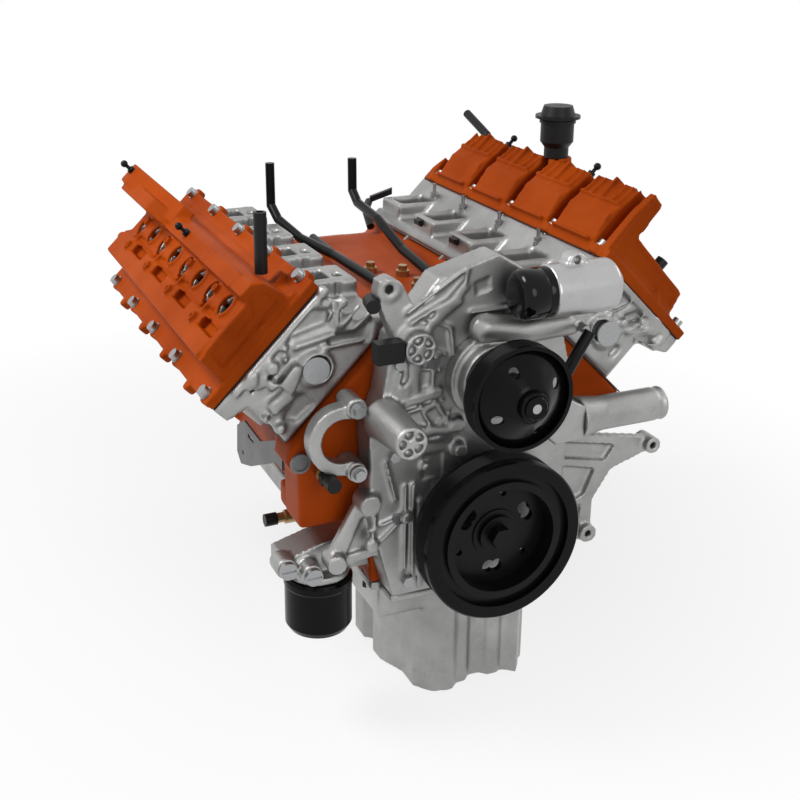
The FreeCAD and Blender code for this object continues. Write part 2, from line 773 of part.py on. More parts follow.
def cylinder_head(name, side):
    """Aluminium head: chambers, ports, valve guides, plug wells, bolt holes and rocker floor."""
    y0, y1 = head_ends(side)
    foot, shelf = level_point(S.intake_tip - 1.0, S.runner_floor), S.runner_floor * 2.0 * cosine(half_angle)
    section = [
        (-S.deck_outer + 2.0, head_foot),
        (S.deck_inner + 6.0, head_foot),
        foot,
        (S.rail_inner - 1.0, shelf - S.rail_inner + 1.0),
        (S.rail_inner - 1.0, S.head_top - 14.0),
        (S.rail_inner, S.head_top - 13.0),
        (S.rail_inner, S.head_top),
        (-rail_outer(side), S.head_top),
        (-rail_outer(side), S.head_top - S.head_rail),
        (-S.rocker_outer - 9.0, S.head_top - S.head_rail - 8.0),
        (-S.rocker_outer - 3.0, S.exhaust_w + 22.0),
    ]
    body = prism(bank_outline(side, section), y0, y1)
    tip, level = S.intake_tip, S.intake_level
    ring = [level_point(tip - 1.0, S.runner_floor - 4.0), level_point(tip, level), level_point(S.mouth_reach + 6.0, level),
            (S.rail_inner - 6.0, S.head_top - 18.0), (S.rail_inner - 6.0, shelf - S.rail_inner)]
    rings = [prism(bank_outline(side, ring), y + S.port_offset - S.ring_half, y + S.port_offset + S.ring_half)
             for y in bore_stations(side)]
    pads = []
    for y in bore_stations(side):
        pads.append(bank_slab(side, -S.exhaust_face, -S.rocker_outer, y - 30.0, y + 30.0,
                              S.exhaust_w - 21.0, S.exhaust_w + 21.0))
    plug_v = bank_frame_x(side, 8.0)
    end_boss = rod(21.0, 5.0, plug_v, y0 - 5.0, 274.0)
    bolt_boss = rod(13.0, 4.0, bank_frame_x(side, -42.0), y0 - 4.0, 322.0)
    casting = fuse(body, end_boss, bolt_boss, *pads, *rings)
    well_floor = S.plug_lift + 6.0
    wells = [
        rod(S.well_radius + S.well_wall, S.trough_top - S.rocker_floor, bank_frame_x(side, -2.0), y,
            S.rocker_floor, "z") for y in well_spots(side)
    ]
    tools = [bank_slab(side, -S.rocker_outer, S.rocker_inner, y0 + 12.0, y1 - 12.0,
                       S.rocker_floor, S.head_top + 1.0)]
    if side == RIGHT:
        corner = [(-38.0, y0 - 1.0), (-110.0, y0 - 1.0), (-110.0, y0 + 78.0), (-84.0, y0 + 54.0)]
        tools.append(prism(bank_outline(side, corner), head_foot - 1.0, S.rocker_floor - 1.0, "xy"))
    holes = []
    for y in bore_stations(side):
        bowl_w = head_foot + S.chamber_depth - 10.0
        dome = ball(S.chamber_radius, 0.0, y, head_foot + S.chamber_depth - S.chamber_radius)
        seats = fuse(rod(24.0, S.chamber_depth - 5.0, bank_frame_x(side, 20.0), y + S.rocker_pair,
                         head_foot - 1.0, "z"),
                     rod(21.0, S.chamber_depth - 7.0, bank_frame_x(side, -27.0), y - S.rocker_pair,
                         head_foot - 1.0, "z"))
        bowls = fuse(rod(18.0, 34.0, bank_frame_x(side, 20.0), y + S.rocker_pair, bowl_w, "z"),
                     rod(15.0, 26.0, bank_frame_x(side, -27.0), y - S.rocker_pair, bowl_w - 4.0, "z"))
        inward = "-x" if side == LEFT else "x"
        outward = "x" if side == LEFT else "-x"
        intake = rod(S.port_radius, 72.0, bank_frame_x(side, 92.0), y + S.port_offset, S.port_w, inward)
        exhaust = rod(15.0, S.exhaust_face - 20.0, bank_frame_x(side, -S.exhaust_face - 1.0),
                      y - S.rocker_pair, S.exhaust_w, outward)
        holes += [dome, seats, bowls, intake, exhaust]
        guide = fuse(rod(3.6, 90.0, bank_frame_x(side, 20.0), y + S.rocker_pair, bowl_w, "z"),
                     rod(3.6, 90.0, bank_frame_x(side, -27.0), y - S.rocker_pair, bowl_w, "z"))
        holes.append(guide)
        for valve in (LEFT, RIGHT):
            x = bank_frame_x(side, cam_v())
            reach = (S.head_top + 10.0 - cam_w()) / cosine(S.pushrod_lean)
            holes.append(leaning_rod(S.passage_radius, reach, x, y + S.rocker_pair * valve, cam_w(),
                                     S.pushrod_lean * side))
    for y in well_spots(side):
        v = bank_frame_x(side, -2.0)
        holes.append(rod(S.well_radius, S.trough_top - S.plug_lift, v, y, well_floor, "z"))
        holes.append(rod(6.2, 40.0, v, y, head_foot - 1.0, "z"))
    for y, v in cover_bolt_spots(side):
        holes.append(rod(S.cover_bolt + S.hole_gap, 12.0, bank_frame_x(side, v), y, S.head_top - 11.0, "z"))
    for y, v in head_bolt_spots(side):
        holes.append(rod(5.8, S.rocker_floor - head_foot + 1.0, bank_frame_x(side, v), y, head_foot - 0.5, "z"))
    pocketed = cut(casting, *tools)
    finish(cut(fuse(pocketed, *wells), *holes, *intake_mouths(side)), name, **bank_turn(side))


def head_gaskets():
    """One thin steel gasket under each head, open at the bores and pushrods."""
    sheets = []
    for side in (LEFT, RIGHT):
        y0, y1 = head_ends(side)
        plate = bank_slab(side, -S.deck_outer, S.deck_inner, y0 + 8.0, y1 - 8.0, S.deck_height, head_foot)
        holes = []
        for y in bore_stations(side):
            holes.append(rod(S.bore / 2 + 0.8, S.gasket + 2.0, 0.0, y, S.deck_height - 1.0, "z"))
            v = S.deck_inner - 18.8
            holes.append(bank_slab(side, v - 9.0, v + 9.0, y - 18.0, y + 18.0, S.deck_height - 1.0,
                                   head_foot + 1.0))
        for y, v in head_bolt_spots(side):
            holes.append(rod(5.8, S.gasket + 2.0, bank_frame_x(side, v), y, S.deck_height - 1.0, "z"))
        sheets.append(move(cut(plate, *holes), **bank_turn(side)))
    finish(group(*sheets), "head_gaskets")


def cover_gaskets():
    """One rubber-coated gasket under each valve cover."""
    rings = []
    for side in (LEFT, RIGHT):
        y0, y1 = head_ends(side)
        top = S.head_top + S.cover_gasket
        plate = bank_slab(side, 1.0 - rail_outer(side), S.rail_inner - 1.0, y0 + 1.0, y1 - 1.0, S.head_top, top)
        well = bank_slab(side, -S.rocker_outer, S.rocker_inner, y0 + 12.0, y1 - 12.0,
                         S.head_top - 1.0, top + 1.0)
        holes = [rod(S.cover_bolt + S.hole_gap, 4.0, bank_frame_x(side, v), y, S.head_top - 1.0, "z")
                 for y, v in cover_bolt_spots(side)]
        rings.append(move(cut(plate, well, *holes), **bank_turn(side)))
    finish(group(*rings), "cover_gaskets")


def cover_bolts():
    """Ten flanged bolts on each valve cover."""
    banks = []
    for side in (LEFT, RIGHT):
        foot = S.head_top + S.cover_gasket + S.cover_flange
        bolts = []
        for y, v in cover_bolt_spots(side):
            x = bank_frame_x(side, v)
            shank = rod(S.cover_bolt, S.cover_flange + S.cover_gasket + 9.0, x, y, S.head_top - 9.0, "z")
            washer = rod(S.bolt_head + 1.4, 1.6, x, y, foot, "z")
            head = rod(S.bolt_head, 7.0, x, y, foot + 1.6, "z")
            bolts.append(fuse(shank, washer, head))
        banks.append(move(group(*bolts), **bank_turn(side)))
    finish(group(*banks), "cover_bolts")


def cover_shell(side, outer, inner, top_pieces, top_cuts, inset, rear_wall):
    """A cast cover: flange, walls from an outline, and a hollow; inset shortens it at the rear."""
    y0, y1 = head_ends(side)
    seat = S.head_top + S.cover_gasket
    flange = bank_slab(side, -rail_outer(side), S.rail_inner, y0, y1, seat, seat + S.cover_flange)
    body = prism(bank_outline(side, outer), y0 + 6.0, y1 - inset)
    ears = [rod(S.bolt_head + 5.0, S.cover_flange, bank_frame_x(side, v), y, seat, "z")
            for y, v in cover_bolt_spots(side)]
    hollow = prism(bank_outline(side, inner), y0 + 6.0 + S.cover_wall, y1 - inset - rear_wall)
    pocket = bank_slab(side, -S.rocker_outer, S.rocker_inner - 1.0, y0 + 14.0, y1 - 14.0, seat - 1.0,
                       seat + S.cover_flange - 4.0)
    wells = []
    holes = []
    for y in well_spots(side):
        x = bank_frame_x(side, -2.0)
        wells.append(rod(S.well_radius + S.well_wall + 4.0, 8.0, x, y, S.trough_top - 8.0, "z"))
        holes.append(rod(S.well_radius + S.well_wall + S.hole_gap, 60.0, x, y, S.trough_top - 40.0, "z"))
    for y, v in cover_bolt_spots(side):
        holes.append(rod(S.cover_bolt + S.hole_gap, 40.0, bank_frame_x(side, v), y, seat - 1.0, "z"))
    shell = cut(fuse(flange, body, *ears, *top_pieces), hollow, pocket)
    return cut(fuse(shell, *wells), *holes, *top_cuts)


def valve_cover_left():
    """Cover with a long ridge, a trough of plug wells and a raised breather box at the rear."""
    side = LEFT
    y0, y1 = head_ends(side)
    seat = S.head_top + S.cover_gasket
    top, wall = S.trough_top, S.cover_wall
    outer = [(-69.0, seat), (-66.0, top + 3.0), (-51.0, top + 6.0), (-28.0, top + 6.5), (-20.0, top),
             (13.0, top), (16.0, S.left_ridge), (34.0, S.left_ridge - 1.0), (44.0, S.left_ridge - 12.0),
             (50.0, seat + 20.0), (59.0, seat + 16.0), (65.0, seat)]
    inner = [(wall - 69.0, seat - 1.0), (wall - 66.0, top + 3.0 - wall), (-21.0, top + 2.0 - wall),
             (-17.0, top - wall), (16.0, top - wall), (20.0, S.left_ridge - wall),
             (32.0, S.left_ridge - wall - 1.0), (40.0, S.left_ridge - wall - 12.0),
             (46.0, seat + 16.0), (46.0, seat - 1.0)]
    box_end = y1 - 17.0
    breather = prism([(box_end - 175.0, S.left_ridge - 14.0), (box_end, S.left_ridge - 14.0),
                      (box_end, S.breather_top), (box_end - 26.0, S.breather_top),
                      (box_end - 165.0, S.left_ridge + 3.0)],
                     bank_frame_x(side, 24.0), bank_frame_x(side, 54.0), "yz")
    pad = bank_slab(side, 15.0, 36.0, y0 + 45.0, y0 + 165.0, S.left_ridge - 1.0, S.left_ridge + 1.5)
    snout = rod(8.0, 27.0, bank_frame_x(side, -38.0), y1 - 18.0, S.trough_top - 6.0, "y")
    stub_boss = rod(14.0, 10.0, bank_frame_x(side, 55.0), y0 + 58.0, seat + 14.0, "z")
    bosses = []
    for i in range(4):
        y = y0 + 70.0 + S.bore_spacing * i
        bosses.append(rod(7.0, 14.0, bank_frame_x(side, -S.rail_outer_left - 2.0), y, seat, "z"))
    outer_face = [bank_slab(side, -65.0, -41.0, y0 + 16.0, y1 - 16.0, top + 5.0, top + 8.0)]
    pieces = [breather, pad, snout, stub_boss] + bosses + outer_face
    shell = cover_shell(side, outer, inner, pieces, [], 17.0, S.cover_wall)
    finish(shell, "valve_cover_left", **bank_turn(side))


def valve_cover_right():
    """Cover with a tall finned ridge on the valley side and a low platform over the plug wells."""
    side = RIGHT
    y0, y1 = head_ends(side)
    seat = S.head_top + S.cover_gasket
    top, wall, ridge = S.trough_top, S.cover_wall, S.right_ridge
    outer = [(-58.0, seat), (-56.0, seat + 19.0), (-49.0, top), (54.0, top + 5.0), (57.0, top + 9.0),
             (61.0, ridge - 3.0), (80.0, ridge), (85.0, top + 20.0), (83.0, seat + 6.0), (80.0, seat)]
    inner = [(wall - 58.0, seat - 1.0), (wall - 56.0, seat + 19.0), (wall - 49.0, top - wall),
             (50.0, top + 5.0 - wall), (61.0, top + 5.0 - wall), (61.0, seat + 14.0), (46.0, seat + 14.0),
             (46.0, seat - 1.0)]
    recesses = [y for y, v in cover_bolt_spots(side)[5:]]
    slots = [bank_slab(side, 67.5, 99.0, y - 9.5, y + 9.5, seat + S.cover_flange, ridge + 6.0) for y in recesses]
    ribs, pads = [], []
    for start, end in zip(recesses, recesses[1:]):
        pad = [(78.0, seat + 9.0), (84.5, seat + 9.0), (91.0, top + 5.0), (86.0, top + 24.0), (78.0, top + 24.0)]
        pads.append(prism(bank_outline(side, pad), start + 12.0, end - 12.0))
        middle = start + (end - start) / 2
        ribs.append(bank_slab(side, 70.0, 89.0, middle - 2.5, middle + 2.5, top + 10.0, ridge + 2.5))
        room = [(58.0, top - 1.0), (64.0, ridge - 8.0), (76.0, ridge - 6.0), (80.5, top + 20.0),
                (79.0, seat + 18.0), (60.0, seat + 18.0)]
        slots.append(prism(bank_outline(side, room), start + 14.0, end - 16.0))
    x, y, z = filler_seat()
    boss_w = x * sine(half_angle) + (z - 30.0) * cosine(half_angle)
    boss_v = (z - 30.0) * sine(half_angle) - x * cosine(half_angle)
    filler = leaning_rod(22.0, 30.0, bank_frame_x(side, boss_v), y, boss_w, -half_angle)
    pieces = ribs + pads + [filler]
    ramp = prism([(y1 - 3.0, seat + 17.0), (y1 + 1.0, seat + 17.0), (y1 + 1.0, ridge + 8.0), (y1 - 53.0, ridge + 8.0)],
                 -99.0, 99.0, "yz")
    shell = cover_shell(side, outer, inner, pieces, slots + [ramp], 6.0, S.cover_wall * 4.0)
    bore = leaning_rod(13.0, 40.0, bank_frame_x(side, boss_v), y, boss_w, -half_angle)
    finish(cut(shell, bore), "valve_cover_right", **bank_turn(side))


def valves():
    """Sixteen valves, heads just clear of their seats and stems up to the rockers."""
    banks = []
    for side in (LEFT, RIGHT):
        pieces = []
        for y in bore_stations(side):
            for sign, v, head in ((RIGHT, 20.0, 23.0), (LEFT, -27.0, 20.0)):
                seat = head_foot + S.chamber_depth - 18.0
                tip = S.head_top + 9.0
                shape = [(0.0, seat), (head, seat), (head, seat + 2.0), (9.0, seat + 6.0), (3.5, seat + 13.0),
                         (3.5, tip), (0.0, tip)]
                pieces.append(turned(shape, axis=Z, base=(bank_frame_x(side, v), y + S.rocker_pair * sign, 0.0)))
        banks.append(move(group(*pieces), **bank_turn(side)))
    finish(group(*banks), "valves")


def valve_springs():
    """Sixteen springs as their coiled outline, each under a retainer."""
    banks = []
    for side in (LEFT, RIGHT):
        pieces = []
        for y in bore_stations(side):
            for sign, v in ((RIGHT, 20.0), (LEFT, -27.0)):
                low, turns, pitch = S.rocker_floor, 5, 6.0
                shape = [(8.0, low)]
                for i in range(turns):
                    shape += [(12.2, low + pitch * i + 0.5), (12.2, low + pitch * i + 4.0),
                              (10.4, low + pitch * i + 5.0)]
                shape += [(12.5, low + pitch * turns + 0.5), (12.5, low + pitch * turns + 4.0),
                          (4.0, low + pitch * turns + 6.0), (4.0, low + pitch * turns), (8.0, low + pitch * turns)]
                pieces.append(turned(shape, axis=Z, base=(bank_frame_x(side, v), y + S.rocker_pair * sign, 0.0)))
        banks.append(move(group(*pieces), **bank_turn(side)))
    finish(group(*banks), "valve_springs")


def rocker_gear():
    """Two rocker shafts on each head with eight arms from the pushrods to the valve tips."""
    banks = []
    tip = S.head_top + 9.3
    for side in (LEFT, RIGHT):
        y0, y1 = head_ends(side)
        shafts = {-27.0: S.head_top + 24.0, 33.0: S.head_top + 28.0}
        pieces = [rod(6.5, S.head_length - 60.0, bank_frame_x(side, v), y0 + 30.0, w) for v, w in shafts.items()]
        intake = [(14.0, tip), (26.0, tip), (36.0, tip + 8.0), (42.0, tip - 4.0), (57.0, tip - 4.0),
                  (57.0, tip - 0.5), (45.5, tip - 0.2), (43.5, tip + 12.0), (42.0, tip + 24.0),
                  (36.0, tip + 28.0), (24.0, tip + 25.0), (20.0, tip + 12.0)]
        exhaust = [(-33.0, tip), (-21.0, tip), (-14.0, tip + 7.0), (36.0, tip + 3.5), (45.0, tip - 4.0),
                   (57.0, tip - 4.0), (57.0, tip - 0.5), (45.5, tip - 0.2), (41.0, tip + 9.0),
                   (-12.0, tip + 17.0), (-20.0, tip + 25.0), (-34.0, tip + 25.0), (-37.0, tip + 10.0)]
        for y in bore_stations(side):
            for shape, start, v in ((intake, y + 2.0, 33.0), (exhaust, y - 13.0, -27.0)):
                arm = prism(bank_outline(side, shape), start, start + 11.0)
                pieces.append(cut(arm, rod(6.5 + S.running_gap, 16.0, bank_frame_x(side, v), start - 2.0,
                                           shafts[v])))
        banks.append(move(group(*pieces), **bank_turn(side)))
    finish(group(*banks), "rocker_gear")


def spark_plugs():
    """Sixteen spark plugs at the foot of their wells."""
    banks = []
    for side in (LEFT, RIGHT):
        pieces = []
        low = S.plug_lift + 6.0
        for y in well_spots(side):
            shape = [(0.0, low - 26.0), (6.0, low - 26.0), (6.0, low), (10.0, low), (10.0, low + 12.0),
                     (5.5, low + 14.0), (5.0, low + 48.0), (2.5, low + 52.0), (0.0, low + 52.0)]
            pieces.append(turned(shape, axis=Z, base=(bank_frame_x(side, -2.0), y, 0.0)))
        banks.append(move(group(*pieces), **bank_turn(side)))
    finish(group(*banks), "spark_plugs")


def bolt(radius, head, length, x, y, z, along="y"):
    """A bolt whose shank starts at the given point and whose head stands proud of it."""
    shank = rod(radius, length, 0.0, 0.0, 0.0, "z")
    cap = new("Part::Prism", "hexagon")
    cap.Polygon = 6
    bind(cap, "Circumradius", head)
    bind(cap, "Height", 7.0)
    place(cap, z=-7.0)
    axis, angle = TURNS[along]
    return move(fuse(shank, cap), x, y, z, axis, angle)


def tube(points, radius):
    """A bent metal tube or moulded hose through the given points."""
    pieces = []
    for i in range(len(points) - 1):
        a, b = Vector(*points[i]), Vector(*points[i + 1])
        run = new("Part::Cylinder", "run")
        bind(run, "Radius", radius)
        run.Height = (b - a).Length
        run.Placement = Placement(a, Rotation(Z, b - a))
        pieces.append(run)
        if i:
            pieces.append(ball(radius, *points[i]))
    return fuse(*pieces)


def head_bolts():
    """Ten bolts through each head into the block, round the bores."""
    banks = []
    for side in (LEFT, RIGHT):
        pieces = []
        for y, v in head_bolt_spots(side):
            x = bank_frame_x(side, v)
            length = S.rocker_floor - S.deck_height + 45.0
            pieces.append(bolt(5.5, 9.0, length, x, y, S.rocker_floor, "-z"))
        banks.append(move(group(*pieces), **bank_turn(side)))
    finish(group(*banks), "head_bolts")


def core_plugs():
    """Pressed cups in the water jacket and at the rear of the cam tunnel."""
    pieces = []
    for side in (LEFT, RIGHT):
        cups = []
        for y in bore_stations(side):
            face = bank_frame_x(side, -S.deck_outer - 10.0)
            seat = face if side == LEFT else face - S.core_plug_depth
            disc = rod(S.core_plug_radius, S.core_plug_depth, seat, y, S.core_plug_station, "x")
            dish_at = seat - 1.0 if side == LEFT else seat + 2.0
            dish = rod(S.core_plug_radius - 2.5, S.core_plug_depth - 1.0, dish_at, y, S.core_plug_station, "x")
            cups.append(cut(disc, dish))
        pieces.append(move(group(*cups), **bank_turn(side)))
    pieces.append(rod(S.cam_journal, 10.0, 0.0, rear - 11.0, S.cam_height))
    disc = rod(12.0, 4.0, 1.0 - S.mount_pad, front - 4.3, 92.0)
    pieces.append(cut(disc, rod(9.0, 3.0, 1.0 - S.mount_pad, front - 5.3, 92.0)))
    finish(group(*pieces), "core_plugs")


def rear_seal_retainer():
    """Cast ring on the rear of the block that carries the crankshaft's rear seal."""
    inner, outer = S.flange_radius + 0.5, S.flange_radius + 22.0
    ring = rod(outer, 8.0, 0.0, rear, 0.0)
    feet = slab(-outer, outer, rear, rear + 8.0, rail_z + 12.5, 0.0)
    hole = rod(inner, 10.0, 0.0, rear - 1.0, 0.0)
    finish(cut(fuse(ring, feet), hole), "rear_seal_retainer")


def pan_rail_outline(reach, y_front, y_back, nose):
    return [(-reach, y_back), (-reach, front), (-nose, front), (-nose, y_front), (nose, y_front),
            (nose, front), (reach, front), (reach, y_back)]


def sump_plan(wall):
    """The sump from above, with its upright flutes, or its hollow when it is given a wall."""
    left, right = wall - S.sump_left, S.sump_right - wall
    fore, aft = wall - S.sump_front, -S.sump_rear - wall
    groove = left + 10.0
    return [(left, aft), (left, -S.sump_rear - 34.0 + wall), (groove, -S.sump_rear - 42.0 + wall),
            (groove, -S.sump_rear - 58.0 - wall), (left - 2.0, -S.sump_rear - 68.0 - wall), (left, fore + 92.0),
            (left + 15.0, fore + 56.0), (left + 15.0, fore + 22.0), (left + 32.0, fore), (left + 58.0, fore - 7.0),
            (left + 70.0, fore + 3.0), (left + 84.0, fore + 4.0), (left + 93.0, fore + 13.0),
            (left + 110.0, fore + 12.0), (left + 116.0, fore + 4.0), (left + 130.0, fore + 3.0),
            (left + 138.0, fore + 8.0), (left + 148.0, fore), (right - 26.0, fore - 6.0), (right - 15.0, fore + 8.0),
            (right - 10.0, fore + 19.0), (right, fore + 25.0), (right, aft)]


def oil_pan():
    """Cast pan: flat rail, shallow tray to the rear and a deep fluted sump in front."""
    y_front = front - S.timing_depth + 2.0
    rail = prism(pan_rail_outline(S.pan_half, y_front, rear - 4.0, 112.0), rail_z - S.pan_rail, rail_z, "xy")
    floor = rail_z - S.tray_drop
    reach = S.pan_half - 16.0
    tray = slab(-reach, reach, front + 10.0, -S.pan_rear - 6.0, floor, rail_z)
    wall = S.pan_wall
    sump = prism(sump_plan(0.0), -S.sump_bottom, rail_z, "xy")
    hollow = prism(sump_plan(wall), wall - S.sump_bottom, rail_z + 1.0, "xy")
    tray_hollow = slab(wall - reach, reach - wall, front + 10.0 + wall, -S.pan_rear - 6.0 - wall,
                       floor + wall, rail_z + 1.0)
    drain = rod(14.0, 8.0, 30.0, -S.sump_rear - 4.0, 60.0 - S.sump_bottom)
    holes = [rod(S.hole_gap + 3.0, S.pan_rail + 2.0, x, y, rail_z - S.pan_rail - 1.0, "z")
             for x, y in pan_bolt_spots()]
    body = fuse(rail, tray, sump, drain)
    finish(cut(body, hollow, tray_hollow, *holes), "oil_pan")


def oil_pickup():
    """Pickup pipe and strainer that hang in the sump."""
    low = 38.0 - S.sump_bottom
    bell = cone(34.0, 12.0, 16.0, 20.0, -460.0, low, "z")
    screen = rod(34.0, 4.0, 20.0, -460.0, low - 4.0, "z")
    pipe = tube([(20.0, -460.0, -218.0), (20.0, -460.0, -140.0), (-20.0, -500.0, -100.0),
                 (-20.0, -548.0, -92.0)], 9.0)
    finish(fuse(bell, screen, pipe), "oil_pickup")


def flange_bolts():
    """Small hexagon bolts: timing cover, pan rail, brackets and outlet."""
    pieces = [bolt(3.0, 7.0, S.timing_depth + 12.0, x, front - S.timing_depth, z) for x, z in TIMING_BOLTS]
    pieces += [bolt(3.0, 5.8, S.pan_rail + 10.0, x, y, rail_z - S.pan_rail, "z") for x, y in pan_bolt_spots()]
    finish(group(*pieces), "flange_bolts")


def star_recess(x, y, z, radius, depth):
    """The pocket round a bolt boss, crossed by five webs."""
    ring = cut(rod(radius, depth, x, y, z), rod(radius * 0.42, depth, x, y, z))
    webs = []
    for i in range(5):
        web = slab(-1.6, 1.6, 0.0, depth, 0.0, radius + 2.0)
        webs.append(move(web, x, y, z, Y, 72.0 * i + 20.0))
    return cut(ring, *webs)


def front_timing_cover():
    """Cast front cover over the chain drive, with bosses, accessory towers and webs."""
    face = front - S.timing_depth
    edge = [(-112.0, rail_z), (-140.0, 20.0), (-142.0, 135.0), (-126.0, 171.0), (-114.0, 241.0),
            (-92.0, 262.0), (-58.0, 306.0), (16.0, 326.0), (58.0, 300.0), (60.0, 268.0), (108.0, 215.0),
            (125.0, 150.0), (118.0, 60.0), (112.0, rail_z)]
    plate = prism(edge, face, front)
    ear = prism([(-134.0, 294.0), (-130.0, 310.0), (-118.0, 314.0), (-104.0, 306.0), (-74.0, 250.0),
                 (-100.0, 232.0), (-114.0, 241.0)], face, face + 20.0)
    web = [(112.0, 84.0), (252.0, 56.0), (262.0, 46.0), (252.0, 38.0), (196.0, 20.0), (172.0, -16.0),
           (170.0, -64.0), (156.0, -72.0), (112.0, -66.0)]
    wing = prism(web, face + 12.0, face + 24.0)
    gaps = [prism([(124.0, 70.0), (200.0, 54.0), (186.0, 34.0), (124.0, 48.0)], face + 8.0, face + 18.0),
            prism([(124.0, 38.0), (172.0, 26.0), (158.0, -8.0), (124.0, -20.0)], face + 8.0, face + 18.0),
            prism([(124.0, -30.0), (154.0, -20.0), (152.0, -54.0), (124.0, -54.0)], face + 8.0, face + 18.0)]
    lower = prism([(-128.0, -30.0), (-178.0, -36.0), (-190.0, -20.0), (-150.0, 52.0), (-136.0, 60.0)],
                  face + 8.0, face + 20.0)
    lower_gap = prism([(-134.0, -18.0), (-168.0, -22.0), (-148.0, 22.0), (-140.0, 26.0)], face + 4.0, face + 14.0)
    towers = [
        rod(19.0, 22.0, -88.0, face - 20.0, 232.0),
        cone(18.5, 25.0, 80.0, -126.0, face - 80.0, 150.0),
        rod(13.0, 30.0, -144.0, face - 12.0, 47.0),
        rod(13.0, 22.0, -119.0, face - 2.0, 300.0),
        rod(11.0, 30.0, 252.0, face + 2.0, 47.0),
        rod(12.0, 30.0, 162.0, face + 2.0, -60.0),
        rod(9.0, 12.0, -34.0, face - 10.0, 128.0),
        rod(8.0, 8.0, -92.0, face - 6.0, 186.0),
        rod(12.0, 30.0, -182.0, face - 4.0, -26.0),
        rod(S.seal_radius + 10.0, 8.0, 0.0, face - 6.0, 0.0),
    ]
    bars = [
        prism([(-110.0, 168.0), (-54.0, 176.0), (-54.0, 168.0), (-110.0, 158.0)], face - 8.0, face),
        prism([(-112.0, 136.0), (-40.0, 128.0), (-40.0, 118.0), (-112.0, 126.0)], face - 8.0, face),
        prism([(-96.0, 216.0), (-84.0, 214.0), (-86.0, 170.0), (-96.0, 170.0)], face - 6.0, face),
        prism([(-80.0, 250.0), (-30.0, 300.0), (-22.0, 292.0), (-72.0, 244.0)], face - 6.0, face),
        prism([(-82.0, 40.0), (-75.0, 40.0), (-75.0, -78.0), (-82.0, -78.0)], face - 6.0, face),
    ]
    casting = fuse(plate, ear, cut(wing, *gaps), cut(lower, lower_gap), *towers, *bars)
    chain_room = prism([(-78.0, rail_z - 1.0), (-78.0, 150.0), (-50.0, 216.0), (50.0, 216.0), (78.0, 150.0),
                        (78.0, rail_z - 1.0)], face + S.timing_wall, front + 1.0)
    upper_room = prism([(-80.0, 244.0), (-50.0, 290.0), (14.0, 308.0), (44.0, 288.0), (44.0, 244.0)],
                       face + S.timing_wall, front + 1.0)
    holes = [rod(S.seal_radius - 9.0, S.timing_depth + 20.0, 0.0, face - 8.0, 0.0),
             star_recess(-88.0, face - 21.0, 232.0, 15.0, 9.0),
             star_recess(-126.0, face - 81.0, 150.0, 15.0, 10.0),
             rod(4.5, 30.0, 252.0, face, 47.0), rod(4.5, 30.0, 162.0, face, -60.0),
             rod(5.0, 22.0, -119.0, face - 3.0, 300.0)]
    holes += [rod(3.0 + S.hole_gap, S.timing_depth + 12.0, x, face, z) for x, z in TIMING_BOLTS]
    finish(cut(casting, chain_room, upper_room, *holes), "front_timing_cover")


def water_pump_housing():
    """Pump casting: stepped volute, bearing nose, crossover to the outlet and passage to the inlet."""
    face = front - S.timing_depth
    x, z, radius = S.pump_x, S.pump_z, S.volute_radius
    depth = S.volute_depth
    body = [rod(radius, depth / 2, x, face - depth / 2, z), rod(radius - 7.0, depth, x, face - depth, z),
            rod(radius - 16.0, depth + 6.0, x, face - depth - 6.0, z),
            cone(22.0, 27.0, 26.0, x, face - depth - 26.0, z)]
    flow = prism([(18.0, 150.0), (40.0, 190.0), (96.0, 150.0), (124.0, 134.0), (124.0, 92.0), (84.0, 92.0)],
                 face - depth + 3.0, face)
    foot, level = S.outlet_left + 49.0, value_of(face) - 17.0
    cross = tube([(-14.0, level + 6.0, 251.0), (-10.0, level, 247.0), (38.0, level, 238.0),
                  (value_of(foot), level, 241.0)], 16.5)
    neck = rod(9.0, 54.0, -2.0, face - 10.0, 200.0, "z")
    base = rod(16.5, S.outlet_z - 241.0, foot, face - 17.0, 241.0, "z")
    stub = rod(5.5, 18.0, foot + 2.0, face - 46.0, 238.0)
    chamber = rod(radius - 14.0, depth - 8.0, x, face - depth + 4.0, z)
    bearing = rod(S.pump_shaft + S.running_gap, depth + 30.0, x, face - depth - 28.0, z)
    outlet = outlet_axis()
    room = rod(S.outlet_radius + 0.2, 80.0, S.outlet_left - 10.0, outlet, S.outlet_z, "x")
    way_off = rod(S.dust_cap_radius + 0.8, 106.0, S.outlet_left - 106.0, outlet, S.outlet_z, "x")
    finish(cut(fuse(*body, flow, cross, neck, base, stub), chamber, bearing, room, way_off),
           "water_pump_housing")


def outlet_axis():
    return -S.outlet_y


def thermostat_housing():
    """Coolant outlet: horizontal barrel with a domed end, a nipple for the hose and a bolted ear."""
    y, z = outlet_axis(), S.outlet_z
    left, right, radius = S.outlet_left, S.outlet_right, S.outlet_radius
    barrel = rod(radius, right - left - 12.0, left, y, z, "x")
    dome = cone(radius, radius - 14.0, 12.0, right - 12.0, y, z, "x")
    nipple = rod(radius - 6.5, 30.0, left - 26.0, y, z, "x")
    bead = rod(radius - 5.2, 3.0, left - 26.0, y, z, "x")
    ear = rod(13.0, 20.0, left + 35.0, y - 8.0, z + 30.0)
    bore = rod(radius - 10.5, right - left + 12.0, left - 27.0, y, z, "x")
    screw = rod(4.5, 24.0, left + 35.0, y - 10.0, z + 35.0)
    finish(cut(fuse(barrel, dome, nipple, bead, ear), bore, screw), "thermostat_housing")


